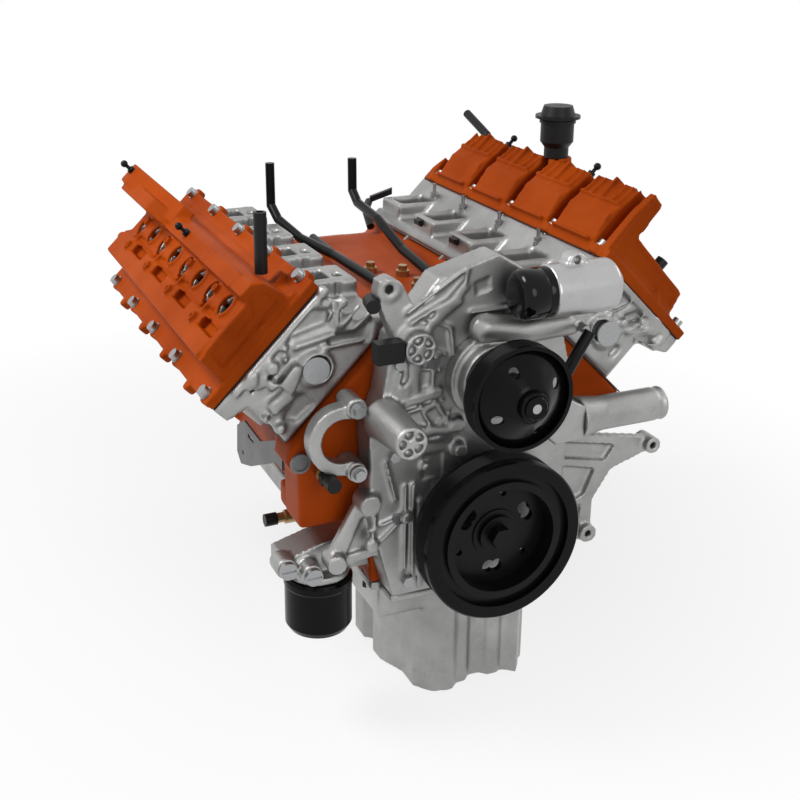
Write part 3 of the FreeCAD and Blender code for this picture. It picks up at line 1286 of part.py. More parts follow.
def outlet_dust_cap():
    """Glossy cap pushed over the outlet nipple until a hose is fitted."""
    y, z = outlet_axis(), S.outlet_z
    start, end = S.dust_cap_left, S.outlet_left - 0.5
    outer = rod(S.dust_cap_radius, end - start - 6.0, start + 6.0, y, z, "x")
    nose = cone(S.dust_cap_radius - 6.0, S.dust_cap_radius, 6.0, start, y, z, "x")
    hollow = rod(S.outlet_radius - 4.9, 28.0, end - 27.5, y, z, "x")
    finish(cut(fuse(outer, nose), hollow), "outlet_dust_cap")


def coolant_inlet_pipe():
    """Inlet elbow with a flared root and a machined hose nipple."""
    y, z, radius = -S.inlet_y, S.inlet_z, S.inlet_radius
    start, tip = S.inlet_start + 4.3, S.inlet_tip
    root = cone(radius + 5.0, radius, 34.0, start, y, z, "x")
    pipe = rod(radius, tip - start - 12.0, start, y, z, "x")
    nipple = rod(radius - 1.5, 30.0, tip - 30.0, y, z, "x")
    bead = rod(radius, 3.5, tip - 5.0, y, z, "x")
    bore = rod(radius - 4.5, tip - start + 2.0, start - 1.0, y, z, "x")
    finish(cut(fuse(root, pipe, nipple, bead), bore), "coolant_inlet_pipe")


def accessory_bracket():
    """C-shaped cast bracket on the block's left front, with a boss at each end."""
    face = front
    ring = rod(42.0, 20.0, -170.0, face - 34.0, 125.0)
    hole = rod(27.0, 24.0, -170.0, face - 36.0, 125.0)
    side = slab(-160.0, -100.0, face - 36.0, face, 60.0, 190.0)
    arc = cut(ring, hole, side)
    bosses = [rod(12.0, 38.0, -156.0, face - 38.0, z) for z in (86.0, 164.0)]
    finish(fuse(arc, *bosses), "accessory_bracket")


def oil_filter_adapter():
    """Cast elbow from the block's left side to the filter."""
    x, y = -S.filter_x, -S.filter_y
    top = -S.filter_top
    body = prism([(-skirt_x(top + 6.0) - 0.3, top + 6.0), (-skirt_x(top + 52.0) - 0.3, top + 52.0), (x, top + 48.0), (x - 50.0, top + 34.0),
                  (x - 50.0, top + 8.0), (x - 30.0, top + 6.0)], y - 20.0, y + 28.0)
    base = rod(S.filter_radius - 4.0, 10.0, x, y, top, "z")
    spout = [rod(13.0, 28.0, x - 50.0, y - 32.0, top + 30.0), rod(13.0, 34.0, x - 22.0, y - 42.0, top + 21.0)]
    finish(fuse(body, base, *spout), "oil_filter_adapter")


def adapter_plugs():
    """Slotted round plugs in the filter adapter and the front of the left head."""
    x, y = -S.filter_x, -S.filter_y
    top = -S.filter_top
    pieces = []
    for px, py, pz in ((x - 50.0, y - 32.0, top + 30.0), (x - 22.0, y - 42.0, top + 21.0)):
        disc = rod(10.5, 7.0, px, py - 7.0, pz)
        slot = slab(px - 9.0, px + 9.0, py - 7.5, py - 5.0, pz - 1.4, pz + 1.4)
        pieces.append(cut(disc, slot))
    for side in (LEFT, RIGHT):
        y0 = head_ends(side)[0]
        disc = rod(16.0, 3.0, bank_frame_x(side, 8.0), y0 - 8.0, 274.0)
        pieces.append(move(disc, **bank_turn(side)))
    finish(group(*pieces), "adapter_plugs")


def oil_filter():
    """Spin-on filter can with a rolled seam and domed end."""
    radius, top, low = S.filter_radius, -S.filter_top, -S.filter_bottom
    shape = [(0.0, low), (radius - 16.0, low), (radius - 5.0, low + 3.0), (radius - 1.0, low + 10.0),
             (radius - 1.0, top - 13.0), (radius, top - 11.0), (radius, top - 4.0), (radius - 3.0, top - 0.3),
             (0.0, top - 0.3)]
    finish(turned(shape, axis=Z, base=(-S.filter_x, -S.filter_y, 0.0)), "oil_filter")


def block_sensors():
    """Two screwed-in sensors on the left side of the block and two fittings in the valley."""
    low = fuse(rod(9.0, 16.0, -186.3, -424.0, -48.0, "x"), rod(6.5, 28.0, -212.0, -424.0, -48.0, "x"))
    high = fuse(rod(8.5, 9.0, -187.0, front - 9.3, 78.0), rod(7.0, 42.0, -187.0, front - 44.0, 78.0))
    knock = [fuse(rod(9.0, 8.0, x, y, S.valley_floor, "z"), rod(6.0, 15.0, x, y, S.valley_floor, "z"))
             for x, y in ((20.0, -330.0), (-14.0, -300.0), (14.0, -392.0))]
    finish(group(low, high, *knock), "block_sensors")


def harness_bracket():
    """Sheet bracket bolted low on the left side of the block."""
    reach = S.skirt_half + 27.0
    edge = [(-161.0, -28.0), (-156.0, -72.0), (-174.0, -85.0), (-224.0, -68.0), (-339.0, -12.0), (-364.0, -13.0),
            (-365.0, 14.0), (-358.0, 29.0), (-271.0, -9.0), (-197.0, -7.0)]
    plate = prism(edge, -reach - 3.0, -reach, "yz")
    posts = [rod(6.0, reach + 0.7 - skirt_x(z + 6.0), -reach - 1.0, y, z, "x")
             for y, z in ((-350.0, 6.0), (-250.0, -34.0))]
    holes = [rod(4.0, 5.0, -reach - 4.0, -186.0, -62.0, "x"), slab(-reach - 4.0, 1.0 - reach, -240.0, -214.0, -26.0, -20.0)]
    finish(cut(fuse(plate, *posts), *holes), "harness_bracket")


def cover_ball_studs():
    """Ball studs on the covers that once held an engine cover."""
    pieces = []
    spots = ((LEFT, -290.0, 29.0, S.left_ridge - 0.2), (LEFT, -70.0, 44.0, S.breather_top),
             (RIGHT, -405.0, 71.0, S.right_ridge - 0.4), (RIGHT, -180.0, 71.0, S.right_ridge - 0.4))
    for side, y, v, w in spots:
        x = bank_frame_x(side, v)
        stud = fuse(rod(4.5, 5.0, x, y, w, "z"), rod(2.6, 12.0, x, y, w, "z"), ball(5.0, x, y, w + 15.0))
        pieces.append(move(stud, **bank_turn(side)))
    finish(group(*pieces), "cover_ball_studs")


def filler_seat():
    return (262.0, -S.filler_y, S.filler_z)


def oil_filler_neck():
    """Moulded filler neck that stands upright on the right cover."""
    x, y, z = filler_seat()
    lower = rod(17.0, 14.0, x, y, z, "z")
    flare = cone(17.0, 23.0, 8.0, x, y, z + 14.0, "z")
    upper = rod(23.0, 30.0, x, y, z + 22.0, "z")
    lip = rod(25.0, 4.0, x, y, z + 48.0, "z")
    bore = rod(13.0, 60.0, x, y, z - 1.0, "z")
    throat = rod(19.0, 30.0, x, y, z + 26.0, "z")
    finish(cut(fuse(lower, flare, upper, lip), bore, throat), "oil_filler_neck")


def oil_filler_cap():
    """Quarter-turn cap with a finger grip, and the sealing ring it carries."""
    x, y, z = filler_seat()
    seat = z + 52.3
    disc = rod(31.0, 4.0, x, y, seat + 2.0, "z")
    dome = cone(24.0, 20.0, 13.0, x, y, seat + 6.0, "z")
    stem = rod(11.0, 26.0, x, y, seat - 20.0, "z")
    hole = rod(6.0, 30.0, x, y, seat - 21.0, "z")
    finish(cut(fuse(disc, dome, stem), hole), "oil_filler_cap")
    ring = cut(rod(23.0, 1.7, x, y, seat, "z"), rod(11.3, 3.0, x, y, seat - 1.0, "z"))
    finish(ring, "oil_cap_seal")


def breather_stubs():
    """Three black ventilation and vacuum stubs on the covers."""
    upright = cut(rod(7.5, 71.0, -229.0, -490.0, 301.1, "z"), rod(4.5, 76.0, -229.0, -490.0, 306.0, "z"))
    collar = move(rod(9.0, 10.0, bank_frame_x(RIGHT, 64.0), -98.0, S.right_ridge - 0.8, "z"), **bank_turn(RIGHT))
    rear_stub = fuse(collar, tube([(268.0, -98.0, 361.0), (266.0, -72.0, 372.0), (264.0, -36.0, 386.0)], 6.5))
    x = bank_frame_x(RIGHT, -24.0)
    low = move(rod(8.0, 20.0, x, -520.0, S.trough_top + 1.9, "z"), **bank_turn(RIGHT))
    finish(group(upright, rear_stub, low), "breather_stubs")


def heater_tubes():
    """Bent coolant tubes in the valley and the short bypass hose at the pump."""
    near = tube([(20.0, -151.0, 353.0), (20.0, -152.0, 306.0), (20.0, -172.0, 292.0), (20.0, -246.0, 285.0),
                 (20.0, -330.0, 262.0), (20.0, -440.0, 250.0), (20.0, -559.7, 250.0)], 6.5)
    far = tube([(-96.0, -126.0, 350.0), (-96.0, -127.0, 289.0), (-92.0, -146.0, 272.0), (-78.0, -200.0, 256.0),
                (-58.0, -280.0, 250.0), (-50.0, -559.7, 250.0)], 6.5)
    bypass = tube([(108.0, -653.0, 238.0), (94.0, -654.0, 218.0), (79.4, -654.0, 193.0)], 7.0)
    finish(group(near, far, bypass), "heater_tubes")


def valley_harness():
    """Wiring run along the left of the valley, with its plugs."""
    run = tube([(-30.0, -120.0, 232.5), (-34.0, -200.0, 232.5), (-66.0, -330.0, 233.0), (-72.0, -440.0, 233.0),
                (-74.0, -536.0, 233.0)], 6.0)
    plug = slab(-84.0, -66.0, -557.0, -530.0, 226.3, 244.0)
    face = front - S.timing_depth
    sensor = slab(-140.0, -108.0, face - 18.0, face - 0.3, 219.5, 244.0)
    finish(group(fuse(run, plug), sensor),
           "valley_harness")


def damper_hub():
    """Damper hub: boss on the snout, pierced web and inertia rim."""
    y0 = -S.damper_face
    y1 = y0 + S.damper_width
    hub, rim, web = S.snout_radius, S.ring_inner - 0.2, S.damper_web
    deep = y0 + S.damper_recess
    shape = [(hub, deep - 2.0), (hub + 11.0, deep - 2.0), (hub + 11.0, deep), (web, deep), (web, y0 + 2.0),
             (web + 9.0, y0 + 2.0), (web + 9.0, y0 + 8.0), (rim, y0 + 8.0), (rim, y1 - 4.0), (web, y1 - 4.0),
             (web, deep + 8.0), (hub + 11.0, deep + 8.0), (hub + 11.0, y1 + 14.0), (hub, y1 + 14.0)]
    body = turned(shape)
    holes = []
    for i in range(3):
        for offset, radius, reach in ((0.0, 8.0, 44.0), (14.0, 8.0, 44.0), (60.0, 4.0, 50.0)):
            a = 120.0 * i + 20.0 + offset
            holes.append(rod(radius, 14.0, reach * cosine(a), deep - 3.0, reach * sine(a)))
    finish(cut(body, *holes), "damper_hub")


def damper_ring():
    """Grooved belt ring round the hub."""
    y0 = -S.damper_face
    outer, inner = S.damper_radius, S.ring_inner
    shape = [(inner, y0), (outer - 2.0, y0), (outer, y0 + 2.0)]
    for i in range(6):
        y = y0 + 11.0 + 3.56 * i
        shape += [(outer, y), (outer - 2.6, y + 1.3), (outer - 2.6, y + 1.9), (outer, y + 3.2)]
    shape += [(outer, y0 + S.damper_width - 2.0), (outer - 2.0, y0 + S.damper_width), (inner, y0 + S.damper_width)]
    finish(turned(shape), "damper_ring")


def damper_bolt():
    """Large bolt and washer that hold the damper on the snout."""
    seat = -S.damper_face + S.damper_recess - 2.0
    washer = rod(23.0, 5.0, 0.0, seat - 5.0, 0.0)
    shank = rod(8.3, 42.0, 0.0, seat - 1.0, 0.0)
    head = new("Part::Prism", "hexagon")
    head.Polygon = 6
    bind(head, "Circumradius", 14.0)
    bind(head, "Height", 13.0)
    place(head, 0.0, seat - 18.0, 0.0, X, -90.0)
    finish(fuse(washer, shank, head), "damper_bolt")


def toothed_wheel(name, teeth, bore, y, z):
    """A chain sprocket; its outline is worked out tooth by tooth from the pitch."""
    count = int(round(value_of(teeth)))
    pitch = value_of(S.sprocket_pitch)
    outer = sprocket_radius(teeth).value
    inner = outer - 0.45 * pitch
    spots = []
    for i in range(count):
        for share, radius in ((0.0, inner), (0.25, inner), (0.42, outer), (0.83, outer)):
            a = 2 * math.pi * (i + share) / count
            spots.append(Vector(radius * math.cos(a), 0, radius * math.sin(a)))
    face = Part.Face(Part.makePolygon(spots + [spots[0]]))
    wheel = face.extrude(Vector(0, value_of(S.sprocket_width), 0))
    wheel = wheel.cut(Part.makeCylinder(value_of(bore), 40, Vector(0, -5, 0), Y))
    thing = new("Part::Feature", name)
    thing.Shape = wheel
    return finish(thing, name, y=y, z=z)


def sprocket_radius(teeth):
    """Tip radius of a sprocket with this many teeth."""
    return teeth * S.sprocket_pitch / (2 * math.pi) + 2.0


def timing_drive():
    """Crankshaft and camshaft sprockets, two to one, and the chain round them."""
    y = front - 24.0
    wide = S.sprocket_width
    toothed_wheel("crank_sprocket", S.crank_teeth, S.snout_radius, y, 0.0)
    toothed_wheel("cam_sprocket", S.crank_teeth * 2.0, 13.0, y, S.cam_height)
    small = sprocket_radius(S.crank_teeth) + S.chain_gap
    large = sprocket_radius(S.crank_teeth * 2.0) + S.chain_gap
    loops = []
    for grow, deep in ((S.chain_thick, 0.0), (0.0, 1.0)):
        a, b = small + grow, large + grow
        ends = [rod(a, wide - 1.0 + deep * 2, 0.0, y + 0.5 - deep, 0.0),
                rod(b, wide - 1.0 + deep * 2, 0.0, y + 0.5 - deep, S.cam_height)]
        tilt = math.asin((b.value - a.value) / value_of(S.cam_height))
        c, s = math.cos(tilt), math.sin(tilt)
        side = [(a * c, -a * s), (b * c, S.cam_height - b * s), (b * -c, S.cam_height - b * s), (a * -c, -a * s)]
        loops.append(fuse(*ends, prism(side, y + 0.5 - deep, y + 0.5 + wide - 1.0 + deep)))
    finish(cut(*loops), "timing_chain")


def pump_pulley():
    """Pressed pulley: grooved rim and a cone dished forward to the hub."""
    y0 = -S.pump_face
    y1 = y0 + S.pulley_width
    rim, hub = S.pulley_radius, S.pump_shaft
    shape = [(hub, y0 - 19.0), (21.0, y0 - 19.0), (24.0, y0 - 17.0), (rim - 5.0, y0 + 8.0), (rim - 5.0, y0),
             (rim, y0)]
    for i in range(5):
        y = y0 + 3.5 + 3.56 * i
        shape += [(rim, y), (rim - 2.2, y + 1.3), (rim - 2.2, y + 1.9), (rim, y + 3.2)]
    shape += [(rim, y1), (rim - 5.0, y1), (rim - 5.0, y0 + 11.5), (23.0, y0 - 13.0), (hub, y0 - 13.0)]
    holes = []
    for i in range(4):
        a = 90.0 * i + 25.0
        holes.append(rod(6.0, 30.0, 39.0 * cosine(a), y0 - 14.0, 39.0 * sine(a)))
    finish(cut(turned(shape), *holes), "pump_pulley", x=S.pump_x, z=S.pump_z)


def pump_shaft():
    """Pump shaft with its nose ahead of the pulley and the impeller in the volute."""
    face = front - S.timing_depth
    start = -S.pump_face - 28.0
    shaft = rod(S.pump_shaft, face - 6.0 - start, 0.0, start, 0.0)
    nose = rod(16.0, 5.0, 0.0, -S.pump_face - 24.0, 0.0)
    disc = rod(S.volute_radius - 18.0, 4.0, 0.0, face - 9.0, 0.0)
    vanes = [move(slab(8.0, S.volute_radius - 20.0, face - 24.0, face - 6.0, -1.5, 1.5), axis=Y, angle=60.0 * i)
             for i in range(6)]
    finish(fuse(shaft, nose, disc, *vanes), "pump_shaft", x=S.pump_x, z=S.pump_z)


def write_parts():
    doc.recompute()
    faulty = [o.Name for o in doc.Objects if {"Invalid", "Error"} & set(o.State)]
    if faulty:
        raise SystemExit(f"not built: {faulty}")
    for piece in nodes:
        if piece.Shape.isNull() or not piece.Shape.isValid():
            raise SystemExit(f"not a sound solid: {piece.Label}")
    os.makedirs("parts", exist_ok=True)
    for piece in nodes:
        piece.Shape.exportStep(f"parts/{piece.Label}.step")
        box = piece.Shape.BoundBox
        print(f"{piece.Label:26s} solids {len(piece.Shape.Solids):3d} faces {len(piece.Shape.Faces):4d}"
              f"  X {box.XMin:7.1f} {box.XMax:7.1f}  Y {box.YMin:7.1f} {box.YMax:7.1f}"
              f"  Z {box.ZMin:7.1f} {box.ZMax:7.1f}")


engine_block()
main_bearing_caps()
crankshaft()
throw_carriers()
pistons()
camshaft()
lifters_and_pushrods()
for bank_name, bank_side in SIDES.items():
    cylinder_head(f"cylinder_head_{bank_name}", bank_side)
head_gaskets()
cover_gaskets()
cover_bolts()
valve_cover_left()
valve_cover_right()
valves()
valve_springs()
rocker_gear()
spark_plugs()
head_bolts()
core_plugs()
rear_seal_retainer()
oil_pan()
oil_pickup()
flange_bolts()
front_timing_cover()
water_pump_housing()
thermostat_housing()
outlet_dust_cap()
coolant_inlet_pipe()
accessory_bracket()
oil_filter_adapter()
adapter_plugs()
oil_filter()
block_sensors()
harness_bracket()
cover_ball_studs()
oil_filler_neck()
oil_filler_cap()
breather_stubs()
heater_tubes()
valley_harness()
damper_hub()
damper_ring()
damper_bolt()
timing_drive()
pump_pulley()
pump_shaft()
write_parts()
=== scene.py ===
import json
import math
import bmesh
import bpy
from mathutils import Matrix, Vector


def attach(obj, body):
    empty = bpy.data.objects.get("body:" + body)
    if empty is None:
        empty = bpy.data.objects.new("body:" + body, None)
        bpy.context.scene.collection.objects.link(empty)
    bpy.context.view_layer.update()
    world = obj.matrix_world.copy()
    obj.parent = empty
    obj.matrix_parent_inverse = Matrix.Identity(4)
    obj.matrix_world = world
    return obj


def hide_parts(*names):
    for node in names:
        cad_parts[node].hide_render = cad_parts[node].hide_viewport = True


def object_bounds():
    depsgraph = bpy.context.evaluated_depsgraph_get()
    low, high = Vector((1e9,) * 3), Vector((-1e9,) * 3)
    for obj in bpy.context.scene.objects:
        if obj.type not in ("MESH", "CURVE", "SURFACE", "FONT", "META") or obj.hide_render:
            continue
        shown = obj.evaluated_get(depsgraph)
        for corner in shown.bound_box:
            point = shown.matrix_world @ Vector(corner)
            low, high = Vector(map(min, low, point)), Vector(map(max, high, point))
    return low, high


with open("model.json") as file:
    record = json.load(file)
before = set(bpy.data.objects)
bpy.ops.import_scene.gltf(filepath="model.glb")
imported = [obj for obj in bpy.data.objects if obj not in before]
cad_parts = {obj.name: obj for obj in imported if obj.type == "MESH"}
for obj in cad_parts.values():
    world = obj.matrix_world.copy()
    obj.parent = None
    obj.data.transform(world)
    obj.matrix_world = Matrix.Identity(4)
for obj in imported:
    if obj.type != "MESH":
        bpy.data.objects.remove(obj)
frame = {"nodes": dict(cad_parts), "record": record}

# The bare size of the engine, kept before anything is dressed.
bare_box = [[float(number) for number in corner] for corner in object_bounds()]
nodes = frame["nodes"]
subparts = frame["record"]["subparts"]

# The studio: a white sky that only eyes and shiny metal see, a pale floor under the sump and
# soft lamps, the strongest of them near and high on the left, as the bright left cover shows.
scene = bpy.context.scene
scene.view_settings.view_transform = "Standard"


class Wire:
    """A socket of a material, with sums written as sums."""

    def __init__(self, tree, socket):
        self.tree = tree
        self.socket = socket

    def sum_with(self, operation, other):
        return add_node(self.tree, "ShaderNodeMath", {"operation": operation}, [self, other])

    def __add__(self, other):
        return self.sum_with("ADD", other)

    def __mul__(self, other):
        return self.sum_with("MULTIPLY", other)


def add_node(tree, kind, settings=None, inputs=None, output=0):
    node = tree.nodes.new(kind)
    for setting, value in (settings or {}).items():
        setattr(node, setting, value)
    pairs = inputs.items() if isinstance(inputs, dict) else enumerate(inputs or [])
    for key, value in pairs:
        if isinstance(value, Wire):
            tree.links.new(value.socket, node.inputs[key])
        else:
            node.inputs[key].default_value = value
    return Wire(tree, node.outputs[output]) if node.outputs else None


def larger(tree, first, second):
    return add_node(tree, "ShaderNodeMath", {"operation": "MAXIMUM"}, [first, second])


world = bpy.data.worlds.new("studio")
world.use_nodes = True
world.node_tree.nodes.clear()
sky = world.node_tree
path = add_node(sky, "ShaderNodeLightPath", output="Is Camera Ray")
glossy = Wire(sky, path.socket.node.outputs["Is Glossy Ray"])
clear = Wire(sky, path.socket.node.outputs["Is Transmission Ray"])
seen = larger(sky, path, clear)
mirrored_sky = 0.95
fill_light = 0.24
strength = larger(sky, larger(sky, seen, glossy * mirrored_sky), fill_light)
backdrop = add_node(sky, "ShaderNodeBackground", {}, {"Color": (1, 1, 1, 1), "Strength": strength})
add_node(sky, "ShaderNodeOutputWorld", {}, {"Surface": backdrop})
scene.world = world


def lamp(name, place, target, size, power):
    light = bpy.data.lights.new(name, "AREA")
    light.shape = "DISK"
    light.size = size
    light.energy = power
    holder = bpy.data.objects.new(name, light)
    scene.collection.objects.link(holder)
    aim = Vector(target) - Vector(place)
    turn = aim.to_track_quat("-Z", "Y").to_matrix().to_4x4()
    holder.matrix_world = Matrix.Translation(place) @ turn


middle = (0, -0.3, 0.1)
lamp("key_lamp", (-1.25, -0.15, 1.65), (-0.1, -0.3, 0.15), 0.8, 29)
lamp("front_lamp", (0.1, -2.6, 1.1), middle, 1.2, 12)
lamp("right_lamp", (2.2, -0.6, 1.3), middle, 1.2, 9)

# The camera of the photograph: its focal length and centre are in pixels of the square picture,
# and its place and turn were fitted to the two banks at right angles.
picture = 800.0
focal_pixels = 1214.91
centre_x = 385.55
centre_y = 328.65
camera_place = (-0.6321, -1.7554, 0.6909)
camera_right = Vector((0.91602466, -0.40107447, 0.00617142))
camera_up = Vector((0.12541657, 0.30098847, 0.94534471))
camera_back = Vector((-0.38101116, -0.86518507, 0.32601424))
camera = bpy.data.cameras.new("camera")
camera.sensor_width = 36.0
camera.lens = focal_pixels * camera.sensor_width / picture
camera.shift_x = (picture / 2 - centre_x) / picture
camera.shift_y = (centre_y - picture / 2) / picture
camera.clip_start = 0.05
holder = bpy.data.objects.new("camera", camera)
scene.collection.objects.link(holder)
turn = Matrix((camera_right, camera_up, camera_back)).transposed().to_4x4()
holder.matrix_world = Matrix.Translation(camera_place) @ turn
scene.camera = holder

# The floor: a disc of pale card just under the sump. It looks white far off, and keeps the
# engine's shadow near it.


def material(name):
    made = bpy.data.materials.new(name + "_finish")
    made.use_nodes = True
    made.node_tree.nodes.clear()
    return made


def place_of(made, stretch=(1, 1, 1)):
    tree = made.node_tree
    spot = add_node(tree, "ShaderNodeTexCoord", output="Object")
    return add_node(tree, "ShaderNodeVectorMath", {"operation": "MULTIPLY"}, [spot, stretch])


def cloud(made, place, size, detail=3.0, rough=0.55):
    return add_node(made.node_tree, "ShaderNodeTexNoise", {},
                    {"Vector": place, "Scale": size, "Detail": detail, "Roughness": rough})


def blend(made, amount, first, second):
    return add_node(made.node_tree, "ShaderNodeMix", {"data_type": "RGBA"},
                    {0: amount, 6: first, 7: second}, output=2)


def stops(made, amount, low, high):
    return add_node(made.node_tree, "ShaderNodeMapRange", {"clamp": True},
                    {0: amount, 1: low, 2: high, 3: 0.0, 4: 1.0})


floor_paint = material("floor_paint")
tree = floor_paint.node_tree
spot = place_of(floor_paint)
reach = add_node(tree, "ShaderNodeVectorMath", {"operation": "LENGTH"}, [spot], output=1)
speckle = cloud(floor_paint, spot, 6.0)
card = blend(floor_paint, speckle, (0.97, 0.97, 0.97, 1), (0.94, 0.94, 0.94, 1))
matt = add_node(tree, "ShaderNodeBsdfDiffuse", {}, {"Color": card})
white = add_node(tree, "ShaderNodeEmission", {}, {"Color": (1, 1, 1, 1), "Strength": 1.0})
looked_at = add_node(tree, "ShaderNodeLightPath", output="Is Camera Ray")
mirrored = Wire(tree, looked_at.socket.node.outputs["Is Glossy Ray"])
paper = larger(tree, looked_at, mirrored) * (stops(floor_paint, reach, 0.25, 1.1) * 0.35 + 0.65)
both = add_node(tree, "ShaderNodeMixShader", {}, {0: paper, 1: matt, 2: white})
add_node(tree, "ShaderNodeOutputMaterial", {}, {"Surface": both})
floor_mesh = bmesh.new()
bmesh.ops.create_circle(floor_mesh, cap_ends=True, segments=64, radius=9.0)
bmesh.ops.translate(floor_mesh, verts=floor_mesh.verts, vec=(0, -0.3, bare_box[0][2] - 0.001))
floor_data = bpy.data.meshes.new("floor")
floor_mesh.to_mesh(floor_data)
floor = bpy.data.objects.new("floor", floor_data)
floor.data.materials.append(floor_paint)
scene.collection.objects.link(floor)

# Cylinder block: one iron casting with both banks, the valley and the skirt, sprayed orange.
# The sand grain shows through the enamel. The skin follows the bare solid with every edge
# rounded as a mould leaves it, and its bores are a little wide, so that no piston rubs it.
# Sizes of forms are in millimetres from here on, in the frame of the bare engine.
finishes = {}


def bump(made, height, strength, distance):
    return add_node(made.node_tree, "ShaderNodeBump", {},
                    {"Height": height, "Strength": strength, "Distance": distance})


def finish(made, inputs):
    shader = add_node(made.node_tree, "ShaderNodeBsdfPrincipled", {}, inputs)
    add_node(made.node_tree, "ShaderNodeOutputMaterial", {}, {"Surface": shader})
    return made


def dress(slot, made):
    """Give a finish to each solid of the bare engine whose slot it is."""
    finishes[slot] = made
    for part in subparts:
        if part["material_slot"] == slot:
            plain = nodes[part["node"]].data.materials
            plain.clear()
            plain.append(made)


def enamel(name, light, dark, gloss, grain):
    made = material(name)
    spot = place_of(made)
    patch = stops(made, cloud(made, spot, 9.0, 4.0), 0.35, 0.7)
    sand = cloud(made, spot, 900.0, 2.0, 0.6)
    peel = cloud(made, spot, 260.0, 2.0, 0.5)
    colour = blend(made, patch * 0.7 + sand * 0.2, light, dark)
    rough = patch * 0.10 + sand * 0.10 + (gloss - 0.05)
    return finish(made, {"Base Color": colour, "Roughness": rough, "Specular IOR Level": 0.06,
                         "Normal": bump(made, sand * 0.6 + peel, grain, 0.0006)})


dress("block_paint", enamel("block_paint", (0.42, 0.060, 0.003, 1), (0.29, 0.037, 0.002, 1), 0.42, 0.45))

slant = math.sqrt(0.5)
LEFT = Matrix(((slant, 0, -slant, 0), (0, 1, 0, 0), (slant, 0, slant, 0), (0, 0, 0, 1)))
RIGHT = Matrix(((-slant, 0, slant, 0), (0, 1, 0, 0), (slant, 0, slant, 0), (0, 0, 0, 1)))
LEVEL = Matrix.Identity(4)
bore_spacing = 113.3
first_left_bore = -462.0
first_right_bore = -482.0


def bank(lie, v, y, w):
    """A point of one bank: v across it, y along the engine, w away from the crankshaft."""
    return lie @ Vector((v, y, w))


def rod(shape, start, end, radius, tip=None, sides=28):
    start = Vector(start)
    end = Vector(end)
    along = end - start
    turn = along.to_track_quat("Z", "Y").to_matrix().to_4x4()
    bmesh.ops.create_cone(shape, cap_ends=True, segments=sides, radius1=radius,
                          radius2=radius if tip is None else tip, depth=along.length,
                          matrix=Matrix.Translation((start + end) / 2) @ turn)


def carrier_of(name, shape, lie, scale=0.001):
    bmesh.ops.recalc_face_normals(shape, faces=shape.faces)
    bmesh.ops.scale(shape, vec=(scale, scale, scale), verts=shape.verts)
    bmesh.ops.transform(shape, matrix=lie.inverted(), verts=shape.verts)
    if lie.determinant() < 0:
        bmesh.ops.reverse_faces(shape, faces=shape.faces)
    loose = bpy.data.meshes.new(name)
    shape.to_mesh(loose)
    shape.free()
    carrier = bpy.data.objects.new(name, loose)
    scene.collection.objects.link(carrier)
    return carrier


def skin(node, skin_size, easing, lie=LEVEL, more=None, less=None):
    """Skin a casting over its solid, with forms joined to it and cut from it."""
    solid = bmesh.new()
    solid.from_mesh(nodes[node].data)
    bmesh.ops.remove_doubles(solid, verts=solid.verts, dist=0.00002)
    carrier = carrier_of(node + "_solid", solid, lie, 1.0)
    helpers = []
    for operation, shape in (("UNION", more), ("DIFFERENCE", less)):
        if shape is not None:
            helper = carrier_of(node + "_" + operation.lower(), shape, lie)
            joining = carrier.modifiers.new(operation.lower(), "BOOLEAN")
            joining.operation = operation
            joining.object = helper
            joining.solver = "EXACT"
            joining.use_self = True
            helpers.append(helper)
    wrap = carrier.modifiers.new("skin", "REMESH")
    wrap.mode = "VOXEL"
    wrap.voxel_size = skin_size * 0.001
    wrap.use_smooth_shade = True
    reader = bpy.context.evaluated_depsgraph_get()
    wrapped = bpy.data.meshes.new_from_object(carrier.evaluated_get(reader))
    for extra in [carrier] + helpers:
        bpy.data.objects.remove(extra)
    shell = bmesh.new()
    shell.from_mesh(wrapped)
    for step in range(easing):
        bmesh.ops.smooth_vert(shell, verts=shell.verts, factor=0.5, use_axis_x=True,
                              use_axis_y=True, use_axis_z=True)
    bmesh.ops.transform(shell, matrix=lie, verts=shell.verts)
    if lie.determinant() < 0:
        bmesh.ops.reverse_faces(shell, faces=shell.faces)
    for face in shell.faces:
        face.smooth = True
    surface = bpy.data.meshes.new(node + "_casting")
    shell.to_mesh(surface)
    shell.free()
    piece = bpy.data.objects.new(node + "_casting", surface)
    scene.collection.objects.link(piece)
    slot = next(part["material_slot"] for part in subparts if part["node"] == node)
    piece.data.materials.append(finishes[slot])
    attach(piece, "engine")
    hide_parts(node)


less = bmesh.new()
skin_bore = 53.4
for lie, first in ((LEFT, first_left_bore), (RIGHT, first_right_bore)):
    for step in range(4):
        y = first + bore_spacing * step
        rod(less, bank(lie, 0, y, 74), bank(lie, 0, y, 238), skin_bore, skin_bore, 64)
skin("engine_block", 4.7, 2, LEVEL, None, less)

# Crank train, valve gear, bolts and senders: turned and ground steel with fine tool lines, the
# fasteners plated with zinc, and the bodies of the senders brass dulled by heat. They keep the
# shapes of the bare engine.


def steel(name, light, dark, rough, lines):
    made = material(name)
    spot = place_of(made)
    scratch = cloud(made, place_of(made, (1, 1, 14)), 160.0, 3.0, 0.6)
    mottle = cloud(made, spot, 240.0, 3.0, 0.6)
    colour = blend(made, scratch * 0.5 + mottle * 0.5, light, dark)
    return finish(made, {"Base Color": colour, "Metallic": 0.95,
                         "Roughness": mottle * 0.16 + (rough - 0.08),
                         "Normal": bump(made, scratch, lines, 0.0002)})


